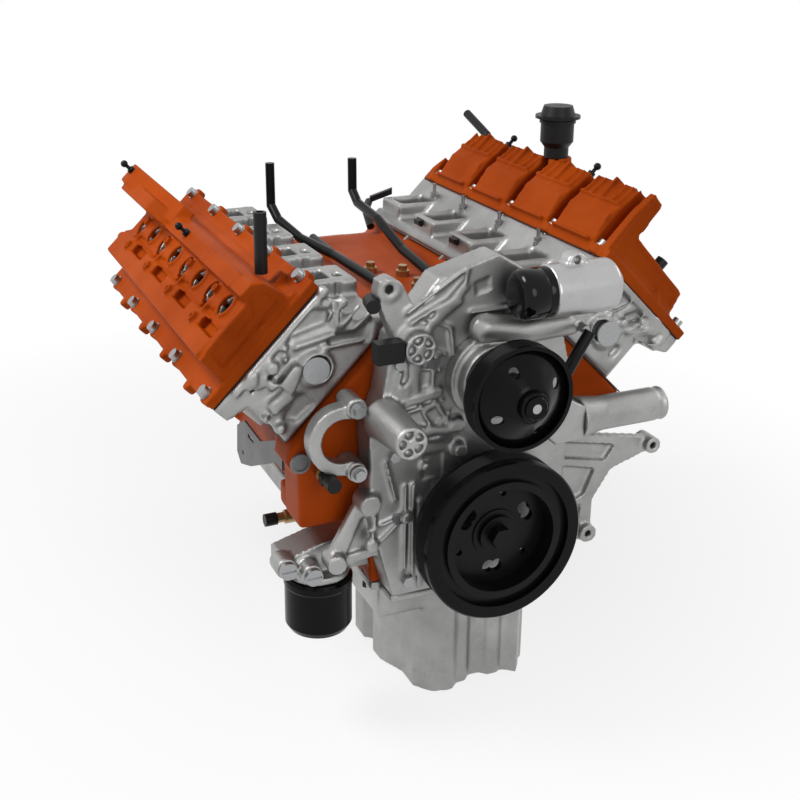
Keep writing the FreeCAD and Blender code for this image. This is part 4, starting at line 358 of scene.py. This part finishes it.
dress("machined_steel", steel("machined_steel", (0.46, 0.46, 0.47, 1), (0.30, 0.30, 0.31, 1), 0.32, 0.2))
dress("zinc_steel", steel("zinc_steel", (0.42, 0.425, 0.43, 1), (0.26, 0.265, 0.27, 1), 0.34, 0.15))
dress("brass_fitting", steel("brass_fitting", (0.50, 0.36, 0.17, 1), (0.30, 0.20, 0.09, 1), 0.34, 0.1))

# Pistons, iron caps and layered gaskets: cast or pressed grey metal, darker where oil and dust
# sit and worn a little brighter in patches.


def casting(name, light, dark, metal, rough, grain):
    made = material(name)
    spot = place_of(made)
    patch = stops(made, cloud(made, spot, 14.0, 5.0), 0.3, 0.72)
    sand = cloud(made, spot, 700.0, 3.0, 0.65)
    stain = stops(made, cloud(made, spot, 60.0, 4.0, 0.7), 0.55, 0.75)
    colour = blend(made, patch * 0.6 + sand * 0.5, light, dark)
    oil = (dark[0] * 0.6, dark[1] * 0.58, dark[2] * 0.54, 1)
    colour = blend(made, stain * 0.25, colour, oil)
    return finish(made, {"Base Color": colour, "Metallic": metal,
                         "Roughness": patch * 0.1 + sand * 0.12 + (rough - 0.08),
                         "Normal": bump(made, sand, grain, 0.0005)})


dress("piston_aluminium", casting("piston_aluminium", (0.58, 0.58, 0.57, 1), (0.44, 0.44, 0.43, 1),
                                  0.9, 0.32, 0.1))
dress("dark_iron", casting("dark_iron", (0.085, 0.083, 0.08, 1), (0.05, 0.048, 0.045, 1), 0.6, 0.55, 0.5))
dress("gasket_steel", casting("gasket_steel", (0.20, 0.20, 0.205, 1), (0.14, 0.14, 0.14, 1),
                              0.7, 0.5, 0.1))

# Black pieces: gloss enamel on the damper, pulley and filter, satin paint on the damper's hub and
# the heater tubes, moulded plastic with a fine spark texture, and soft rubber seals.


def black(name, level, rough, grain, size, shine=0.2):
    made = material(name)
    spot = place_of(made)
    fine = cloud(made, spot, size, 2.0, 0.6)
    dust = stops(made, cloud(made, spot, 30.0, 4.0), 0.45, 0.8)
    clean = (level, level, level * 1.02, 1)
    dusty = (level * 1.9, level * 1.9, level * 1.85, 1)
    colour = blend(made, dust * 0.5 + fine * 0.2, clean, dusty)
    return finish(made, {"Base Color": colour, "Roughness": dust * 0.1 + fine * 0.06 + (rough - 0.04),
                         "Specular IOR Level": shine, "Normal": bump(made, fine, grain, 0.0003)})


dress("gloss_black_paint", black("gloss_black_paint", 0.003, 0.17, 0.05, 300.0, 0.11))
dress("gloss_black_plastic", black("gloss_black_plastic", 0.003, 0.12, 0.03, 200.0, 0.18))
dress("satin_black_steel", black("satin_black_steel", 0.005, 0.30, 0.10, 500.0, 0.13))
dress("black_plastic", black("black_plastic", 0.007, 0.42, 0.25, 900.0))
dress("black_rubber", black("black_rubber", 0.009, 0.62, 0.3, 700.0))

# Left cylinder head: a bare aluminium casting bolted to the left deck. Its front end carries
# ribs, bosses, core pockets and a plugged hole, and webs with pockets split the intake mouths.
dress("cast_aluminium", casting("cast_aluminium", (0.46, 0.46, 0.455, 1), (0.24, 0.24, 0.235, 1),
                                0.86, 0.34, 0.8))
left_front = -547
left_ribs = [((60, 330), (73, 312), 4), ((69, 306), (56, 302), 3), ((82, 306), (60, 288), 4),
             ((97, 284), (63, 284), 4), ((103, 267), (70, 271), 4), ((11, 312), (54, 283), 5),
             ((30, 286), (72, 250), 5), ((-57, 320), (-31, 305), 3)]
left_bosses = [(-21, 317, 8, 11), (4, 320, 4, 8), (-5, 311, 4, 8), (-45, 327, 8, 9), (-35, 314, 4, 7),
               (-37, 301, 5, 8), (-70, 281, 5, 7), (-69, 258, 7, 9), (80, 330, 7, 8), (85, 303, 7, 8),
               (11, 273, 20.5, 7)]
left_pockets = [[(56, 326), (69, 309), (56, 297), (16, 320), (20, 327)],
                [(80, 299), (64, 289), (92, 289)],
                [(68, 280), (94, 280), (98, 271), (74, 275)],
                [(36, 276), (72, 243), (98, 258), (70, 266), (46, 290)],
                [(-14, 326), (-16, 305), (-60, 314), (-62, 320), (-34, 326)],
                [(-30, 268), (-20, 262), (-22, 240), (-52, 244), (-60, 262)]]
left_lip = ((-72, 325), (84, 325), (84, 333), (-72, 333))
left_lug = ((-1, 300), (1, 290), (-17, 282), (-29, 279), (-31, 299))
backwards = (0, 1, 0)
upwards = (0, 0, 1)


def bar(shape, start, end, width, height, out):
    start = Vector(start)
    end = Vector(end)
    along = end - start
    out = Vector(out).normalized()
    side = along.cross(out).normalized()
    turn = Matrix((along, side * width, out * height)).transposed().to_4x4()
    bmesh.ops.create_cube(shape, size=1.0, matrix=Matrix.Translation((start + end) / 2) @ turn)


def slab(shape, corners, push):
    rim = [shape.verts.new(corner) for corner in corners]
    base = shape.faces.new(rim)
    grown = bmesh.ops.extrude_face_region(shape, geom=[base], use_keep_orig=True)
    top = [part for part in grown["geom"] if isinstance(part, bmesh.types.BMVert)]
    bmesh.ops.translate(shape, verts=top, vec=push)


def end_face(lie, outline, y):
    return [bank(lie, v, y, w) for v, w in outline]


def end_ribs(shape, lie, ribs, y):
    for start, end, width in ribs:
        bar(shape, bank(lie, start[0], y, start[1]), bank(lie, end[0], y, end[1]), width, 9, backwards)


def end_bosses(shape, lie, bosses, front):
    for v, w, radius, reach in bosses:
        rod(shape, bank(lie, v, front + 4, w), bank(lie, v, front - reach, w), radius, radius - 1)


more = bmesh.new()
less = bmesh.new()
end_ribs(more, LEFT, left_ribs, left_front - 1.5)
end_bosses(more, LEFT, left_bosses, left_front)
rod(less, bank(LEFT, 11, left_front - 9, 273), bank(LEFT, 11, left_front - 0.5, 273), 15.5)
rod(less, bank(LEFT, -45, left_front - 12, 327), bank(LEFT, -45, left_front, 327), 3.6)
for outline in left_pockets:
    slab(less, end_face(LEFT, outline, left_front - 3), (0, 9, 0))
slab(more, end_face(LEFT, left_lip, left_front + 3), (0, -9, 0))
slab(more, end_face(LEFT, left_lug, left_front + 3), (0, -17, 0))
bar(more, bank(LEFT, -26, left_front - 3, 278), bank(LEFT, -59, left_front - 3, 284), 17, 13, backwards)
for station in (-427.0, -313.7, -200.3, -87.0):
    web = [(-100, station - 36, 240), (-122, station - 36, 240), (-100, station + 8, 240)]
    inner_pocket = [(-128, station + 40, 276), (-108, station + 70, 276), (-105, station + 40, 276)]
    outer_pocket = [(-146, station + 44, 276), (-134, station + 44, 276), (-124, station + 68, 276),
                    (-138, station + 68, 276)]
    bar(more, (-131, station - 34, 265), (-112, station + 34, 265), 5, 15, upwards)
    slab(more, web, (0, 0, 32))
    slab(less, inner_pocket, (0, 0, -18))
    slab(less, outer_pocket, (0, 0, -12))
skin("cylinder_head_left", 2.9, 1, LEFT, more, less)

# Right cylinder head: the same casting turned round for the other bank and set back by the
# stagger of the rods, so that its front end shows other ribs and pockets.
right_front = -567
right_ribs = [((24, 292), (10, 325), 3), ((-6, 302), (-21, 326), 3), ((-9, 289), (-24, 313), 3),
              ((-18, 291), (-46, 321), 3.5), ((44, 280), (40, 322), 4), ((-50, 300), (-70, 312), 4)]
right_bosses = [(18, 271, 18, 6), (0, 298, 6, 9), (-66, 318, 6, 5), (52, 312, 6, 6)]
right_pockets = [[(34, 300), (14, 300), (4, 324), (34, 324)],
                 [(-2, 286), (-14, 300), (-20, 288)],
                 [(-26, 322), (-10, 322), (2, 306), (-6, 296)],
                 [(-28, 274), (-18, 274), (-18, 256), (-28, 256)],
                 [(-32, 296), (-50, 314), (-66, 300), (-46, 286)]]
right_lip = ((-70, 325), (64, 325), (64, 333), (-70, 333))
more = bmesh.new()
less = bmesh.new()
end_ribs(more, RIGHT, right_ribs, right_front - 1.5)
end_bosses(more, RIGHT, right_bosses, right_front)
rod(less, bank(RIGHT, 18, right_front - 8, 271), bank(RIGHT, 18, right_front - 0.5, 271), 13.5)
for outline in right_pockets:
    slab(less, end_face(RIGHT, outline, right_front - 3), (0, 9, 0))
slab(more, end_face(RIGHT, right_lip, right_front + 3), (0, -8, 0))
skin("cylinder_head_right", 2.85, 1, RIGHT, more, less)

# Left rocker cover: a thin orange casting on a rubber gasket, held by screws through its ears.
# Its trough has a well for each plug, with screw bosses and slots beside them.
dress("cover_paint", enamel("cover_paint", (0.42, 0.064, 0.002, 1), (0.27, 0.034, 0.001, 1), 0.50, 0.30))
left_bores = [first_left_bore + bore_spacing * step for step in range(4)]
left_bank_out = bank(LEFT, 0, 0, 1)
left_cover_front = -540
left_cover_back = -60
trough_floor = 376
plug_gap = 28.3
front_recess = ((-58, 356), (-54, 379), (-30, 381), (-22, 372), (10, 372), (20, 390), (30, 390), (38, 380),
                (42, 358))
breather_side = ((-212, 398), (-186, 428), (-66, 435), (-42, 426), (-42, 396))


def oblong(lie, v0, v1, y0, y1, w):
    return [bank(lie, v, y, w) for v, y in ((v0, y0), (v1, y0), (v1, y1), (v0, y1))]


more = bmesh.new()
less = bmesh.new()
for bore in left_bores:
    slab(more, oblong(LEFT, -16, 12, bore - 12, bore + 12, 378), left_bank_out * 6.5)
    rod(more, bank(LEFT, 4, bore + 10, trough_floor), bank(LEFT, 4, bore + 10, 392), 6.5, 5.5)
    rod(less, bank(LEFT, 4, bore + 10, 386), bank(LEFT, 4, bore + 10, 396), 2.8)
    rod(more, bank(LEFT, -38, bore + 4, trough_floor), bank(LEFT, -38, bore + 4, 394), 7.5, 6.5)
    rod(less, bank(LEFT, -38, bore + 4, 388), bank(LEFT, -38, bore + 4, 398), 3.2)
    bar(more, bank(LEFT, -38, bore + 4, 386), bank(LEFT, -12, bore + 4, 384), 4, 8, left_bank_out)
    slab(less, oblong(LEFT, -40, -27, bore - 66, bore - 10, 374), left_bank_out * 30)
    slab(less, oblong(LEFT, -24, -14, bore + 16, bore + 30, 374), left_bank_out * 12)
    for y in (bore - plug_gap, bore + plug_gap):
        rod(more, bank(LEFT, -2, y, trough_floor), bank(LEFT, -2, y, 384.5), 17)
    for y in (bore - plug_gap, bore + plug_gap):
        rod(less, bank(LEFT, -2, y, 340), bank(LEFT, -2, y, 390), 13)
    slab(less, oblong(LEFT, -30, -6, bore - 33, bore - 24, 380.5), left_bank_out * 12)
slab(more, oblong(LEFT, -46, -20, left_cover_front, left_cover_back, 369), left_bank_out * 6)
slab(less, end_face(LEFT, front_recess, left_cover_front - 3), (0, 4.5, 0))
y = left_cover_front - 1.5
bar(more, bank(LEFT, -62, y, 352), bank(LEFT, 58, y, 352), 2.5, 3, backwards)
rod(more, bank(LEFT, 6, left_cover_front, 352), bank(LEFT, 6, left_cover_front - 4, 352), 6)
slab(more, oblong(LEFT, -30, 14, left_cover_front - 1, left_cover_front + 5, 378), left_bank_out * 9)
slab(more, [bank(LEFT, 15, y, w) for y, w in breather_side], bank(LEFT, 21, 0, 0))
skin("valve_cover_left", 2.05, 1, LEFT, more, less)

# Right rocker cover: the same kind of orange casting with a tall ridge on the valley side. Pads
# with upright fins and ledges stand between its screw recesses, and notches cut its top edge.
right_cover_front = -560
panel_recess = ((-50, 357), (-44, 374), (50, 380), (60, 396), (64, 428), (74, 430), (79, 400), (76, 357))
notches = (-528, -500, -440, -410, -330, -296, -214, -184, -110)
first_recess = -538.65
valley_side = bank(RIGHT, 1, 0, 0)
more = bmesh.new()
less = bmesh.new()
slab(less, end_face(RIGHT, panel_recess, right_cover_front - 3), (0, 4.5, 0))
for y in notches:
    slab(less, oblong(RIGHT, 56, 84, y, y + 7, 432), bank(RIGHT, 0, 0, 9))
y = right_cover_front - 1.5
bar(more, bank(RIGHT, -50, y, 352), bank(RIGHT, 58, y, 352), 2.5, 3, backwards)
for pad in range(4):
    start = first_recess + bore_spacing * pad
    for step in (17, 33, 79, 95):
        y = start + step
        bar(more, bank(RIGHT, 85.5, y, 404), bank(RIGHT, 81.5, y, 435), 4, 8, valley_side)
    for shape, v, w, width, height in ((more, 89, 405, 3.5, 5), (less, 92, 399, 4, 5), (more, 89, 348, 4, 9)):
        bar(shape, bank(RIGHT, v, start + 13, w), bank(RIGHT, v, start + 100, w), width, height, valley_side)
for v, w, radius in ((-18, 353, 6), (-26, 347, 4)):
    rod(more, bank(RIGHT, v, right_cover_front, w), bank(RIGHT, v, right_cover_front - 5, w), radius)
skin("valve_cover_right", 2.25, 1, RIGHT, more, less)

# Sump: a cast aluminium pan screwed under the block, with upright flutes along its deep front.
# A lining closes the wall behind the flutes, where the bare solid is too thin.
sump_floor = -269.5
lining_height = 150
flutes = [(-53, -534), (-36, -556), (-10, -563), (2, -553), (16, -552), (25, -543), (42, -544), (48, -552),
          (62, -553), (70, -548), (80, -556), (85.9, -562), (96.9, -548), (101.9, -537), (111.4, -531)]
more = bmesh.new()
for start, end in zip(flutes, flutes[1:]):
    lining = (start, end, (end[0], end[1] + 8), (start[0], start[1] + 8))
    slab(more, [(x, y + 0.4, sump_floor) for x, y in lining], (0, 0, lining_height))
skin("oil_pan", 3.2, 2, LEVEL, more)

# Timing cover: an aluminium casting screwed to the block's front over the chain. Rings and
# spokes brace it round the pump, and webs run between its bosses.
cover_face = -596
rib_y = cover_face - 5
pump_x = 3
pump_z = 185
ring_radii = (70, 88)
spoke_angles = (150, 168, 186, 204, 222, 239)
web_runs = [((-145, 12), (-101, 22), 3), ((-101, 19), (-141, -15), 3), ((-136, 30), (-140, -8), 3),
            ((-123, 94), (-110, 43), 3), ((-100, 270), (-24, 316), 4), ((-96, 258), (-30, 288), 4),
            ((-30, 288), (-24, 316), 4), ((-69, 250), (-30, 278), 3), ((-105, 204), (-118, 150), 4),
            ((-64, 232), (-66, 170), 3), ((-110, 150), (-60, 158), 4), ((-60, 158), (-46, 132), 4),
            ((-112, 118), (-40, 112), 4), ((-88, 60), (-88, -60), 4), ((-98, 60), (-98, -50), 3)]
low_webs = [((-76, 262), (-44, 246), 4), ((-44, 246), (-40, 212), 4), ((40, 262), (60, 232), 4),
            ((-20, 262), (28, 262), 3.5)]
cover_bosses = [(-140, -8, 9, 8), (-104, 179, 9, 7), (-73, 81, 6, 7), (-31, 97, 9, 12), (-98, 22, 8, 12),
                (-88, 235, 23, 4), (-39, 278, 8, 7)]
cover_pockets = [[(-80, 300), (-60, 306), (-64, 286), (-84, 276)],
                 [(-78, 62), (-48, 62), (-48, 96), (-74, 96)],
                 [(-16, 296), (6, 302), (8, 284), (-12, 280)]]


def round_pump(radius, degrees):
    aim = math.radians(degrees)
    return (pump_x + radius * math.cos(aim), rib_y, pump_z + radius * math.sin(aim))


more = bmesh.new()
less = bmesh.new()
for radius in ring_radii:
    for degrees in range(150, 236, 6):
        bar(more, round_pump(radius, degrees), round_pump(radius, degrees + 7), 3.5, 9, backwards)
for degrees in spoke_angles:
    bar(more, round_pump(60, degrees), round_pump(89, degrees), 3.5, 8, backwards)
for runs, height in ((web_runs, 9), (low_webs, 8)):
    for start, end, width in runs:
        bar(more, (start[0], rib_y, start[1]), (end[0], rib_y, end[1]), width, height, backwards)
for x, z, radius, reach in cover_bosses:
    rod(more, (x, cover_face, z), (x, cover_face - 4 - reach, z), radius, radius - 1)
rod(less, (-88, cover_face - 10, 235), (-88, cover_face - 6, 235), 19.5)
rod(more, (-88, cover_face, 235), (-88, cover_face - 8, 235), 17)
for outline in cover_pockets:
    slab(less, [(x, cover_face - 7, z) for x, z in outline], (0, 5, 0))
skin("front_timing_cover", 2.4, 1, LEVEL, more, less)

# Pump housing, bracket, filter adapter, coolant outlet and inlet: smaller aluminium castings
# screwed on the front and side, the outlet of brighter metal than the others.
dress("bright_aluminium", casting("bright_aluminium", (0.52, 0.52, 0.52, 1), (0.40, 0.40, 0.40, 1),
                                  0.92, 0.30, 0.18))
for node, skin_size, easing in (("water_pump_housing", 2.0, 1), ("accessory_bracket", 1.6, 2),
                                ("oil_filter_adapter", 2.0, 2), ("thermostat_housing", 1.8, 2),
                                ("coolant_inlet_pipe", 1.6, 2)):
    skin(node, skin_size, easing)

# Ball studs: black steel studs screwed into the covers, which once held an engine cover by
# their round heads.
stud_places = ((LEFT, 29, -290, 398.8), (LEFT, 44, -70, 440), (RIGHT, 71, -405, 436.6),
               (RIGHT, 71, -180, 436.6))
stud_foot = [(0.01, -3), (2.6, -3), (2.6, 0), (5.2, 0), (5.2, 4.4), (4.4, 5), (2.6, 5), (2.6, 9.8),
             (2.1, 10.6)]
ball_angles = [math.radians(degrees) for degrees in range(-64, 90, 14)]
stud_ball = [(5 * math.cos(aim), 15 + 5 * math.sin(aim)) for aim in ball_angles] + [(0.01, 20)]


def turned(shape, profile, centre, axis):
    """Turn a profile of radius and height about an axis through its centre."""
    axis = Vector(axis).normalized()
    lie = Matrix.Translation(centre) @ axis.to_track_quat("Z", "Y").to_matrix().to_4x4()
    line = [shape.verts.new((radius, 0, height)) for radius, height in profile]
    runs = [shape.edges.new(pair) for pair in zip(line, line[1:])]
    bmesh.ops.spin(shape, geom=line + runs, cent=(0, 0, 0), axis=(0, 0, 1), angle=math.tau, steps=40,
                   use_merge=True)
    ring = {vert for face in shape.faces if face.is_valid for vert in face.verts if not vert.tag}
    bmesh.ops.transform(shape, matrix=lie, verts=list(ring))
    for vert in ring:
        vert.tag = True


def piece_of(name, shape, slot, body="engine"):
    sharpest_round = math.radians(35.0)
    bmesh.ops.remove_doubles(shape, verts=shape.verts, dist=0.001)
    bmesh.ops.recalc_face_normals(shape, faces=shape.faces)
    bmesh.ops.scale(shape, vec=(0.001, 0.001, 0.001), verts=shape.verts)
    for face in shape.faces:
        face.smooth = True
    for edge in shape.edges:
        if len(edge.link_faces) == 2:
            edge.smooth = edge.calc_face_angle(0.0) < sharpest_round
    surface = bpy.data.meshes.new(name)
    shape.to_mesh(surface)
    shape.free()
    piece = bpy.data.objects.new(name, surface)
    scene.collection.objects.link(piece)
    piece.data.materials.append(finishes[slot])
    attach(piece, body)
    return piece


shape = bmesh.new()
for lie, v, y, w in stud_places:
    turned(shape, stud_foot + stud_ball, bank(lie, v, y, w), bank(lie, 0, 0, 1))
studs = piece_of("black_ball_studs", shape, "satin_black_steel")
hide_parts("cover_ball_studs")

# Harness bracket and core plugs: pressed sheet steel, gone dull and grey. The bracket is
# screwed low on the block's left side, the plugs are driven into it.


def restyled(node, name, slot):
    shape = bmesh.new()
    shape.from_mesh(nodes[node].data)
    bmesh.ops.scale(shape, vec=(1000, 1000, 1000), verts=shape.verts)
    bmesh.ops.remove_doubles(shape, verts=shape.verts, dist=0.02)
    piece = piece_of(name, shape, slot)
    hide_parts(node)


restyled("harness_bracket", "dull_harness_bracket", "gasket_steel")
restyled("core_plugs", "dull_core_plugs", "gasket_steel")

# Pulley hub: stepped rings of gloss black steel pressed on the pump's shaft, turning with it.
hub = [(30, 6), (30, 0), (24, -3), (24, -9), (20.6, -12), (20.6, -18), (17.4, -20), (17.4, -25.4),
       (16.4, -26.3), (13.6, -26.3), (13.6, -28.2), (12.4, -29.3), (5.6, -29.3), (5.2, -27.5)]
shape = bmesh.new()
turned(shape, hub, (pump_x, -690, pump_z), backwards)
piece_of("pulley_hub_rings", shape, "gloss_black_paint", "water_pump_rotor")

# Dust cap: gloss black plastic, moulded with a domed end and a rolled rim, pushed over the
# coolant outlet until a hose is fitted.
cap_profile = [(0.01, 0), (8, 0.1), (17, 0.7), (23, 2.2), (26.6, 4.8), (28.6, 8.4), (29.4, 13), (29.4, 31),
               (28.9, 32), (29.5, 33), (29.5, 40.5), (26.3, 40.5), (26.3, 13), (0.01, 13)]
shape = bmesh.new()
turned(shape, cap_profile, (16, -636, 287), (1, 0, 0))
cap = piece_of("round_dust_cap", shape, "gloss_black_plastic", "dust_cap")
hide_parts("outlet_dust_cap")

# Sender plugs: black plastic sleeves and plugs pushed over the brass senders of the block and
# into the timing cover's upper left edge.
shape = bmesh.new()
rod(shape, (-213, -424, -48), (-197, -424, -48), 8.2, 8.2)
rod(shape, (-187, -606.6, 78), (-187, -588, 78), 8.8, 8.8)
rod(shape, (-187, -588, 78), (-187, -578, 78), 10.5, 10.5, 6)
rod(shape, (-139, -603, 283), (-133, -580, 283), 8, 9)
piece_of("sender_plugs", shape, "black_plastic")

# Bracket screws: zinc-plated hexagon screws with washers in the bosses of the C bracket.
shape = bmesh.new()
for z in (86, 164):
    rod(shape, (-156, -600, z), (-156, -603, z), 10, 10)
    rod(shape, (-156, -603, z), (-156, -609, z), 7.4, 7, 6)
piece_of("bracket_screws", shape, "zinc_steel")

# Plug tubes: steel tubes in the left cover's wells, closed at the foot by a disc. Tubes and
# discs are near-black, painted shade that makes the deep wells dark.
tube = [(0.01, 0), (12.2, 0), (12.2, 12), (13.6, 27), (13.6, -2), (0.01, -2)]
shape = bmesh.new()
for bore in left_bores:
    for y in (bore - plug_gap, bore + plug_gap):
        turned(shape, tube, bank(LEFT, -2, y, 352), left_bank_out)
piece_of("plug_tubes", shape, "satin_black_steel")

# Intake studs: zinc-plated studs with a nut, screwed into bosses beside the right intake rings.
shape = bmesh.new()
for y, x in ((-130, 163), (-219, 166), (-325, 168), (-427, 170)):
    rod(shape, (x, y, 270), (x, y, 281), 7.5, 6.5)
    rod(shape, (x, y, 281), (x, y, 300), 2.6)
    rod(shape, (x, y, 283), (x, y, 287), 5.5, 5.5, 6)
piece_of("intake_studs_right", shape, "zinc_steel")

# Locating stubs and clips: bright stubs cast between the right intake runners, and small black
# plastic clips pushed on the runners' edge.
shape = bmesh.new()
for y in (-176, -293, -402):
    rod(shape, (97, y, 229), (110, y - 26, 258), 5.5)
    rod(shape, (110, y - 26, 258), (112, y - 30, 262), 4.5)
piece_of("runner_locating_stubs", shape, "bright_aluminium")
shape = bmesh.new()
for y in (-214, -327, -434):
    bar(shape, (98, y - 8, 266), (98, y + 8, 266), 8, 7, upwards)
    bar(shape, (96, y, 262), (102, y, 270), 4, 20, backwards)
piece_of("runner_clips", shape, "black_plastic")

# Rear end of the valley harness: a black plastic elbow that lies on the right head's last
# intake ring and bends down into the valley.
shape = bmesh.new()
rod(shape, (88, -52, 262), (72, -78, 256), 6, 6)
rod(shape, (72, -78, 256), (66, -112, 238), 6, 6)
bar(shape, (92, -46, 264), (124, -60, 278), 11, 9, upwards)
piece_of("rear_harness_end", shape, "black_plastic")
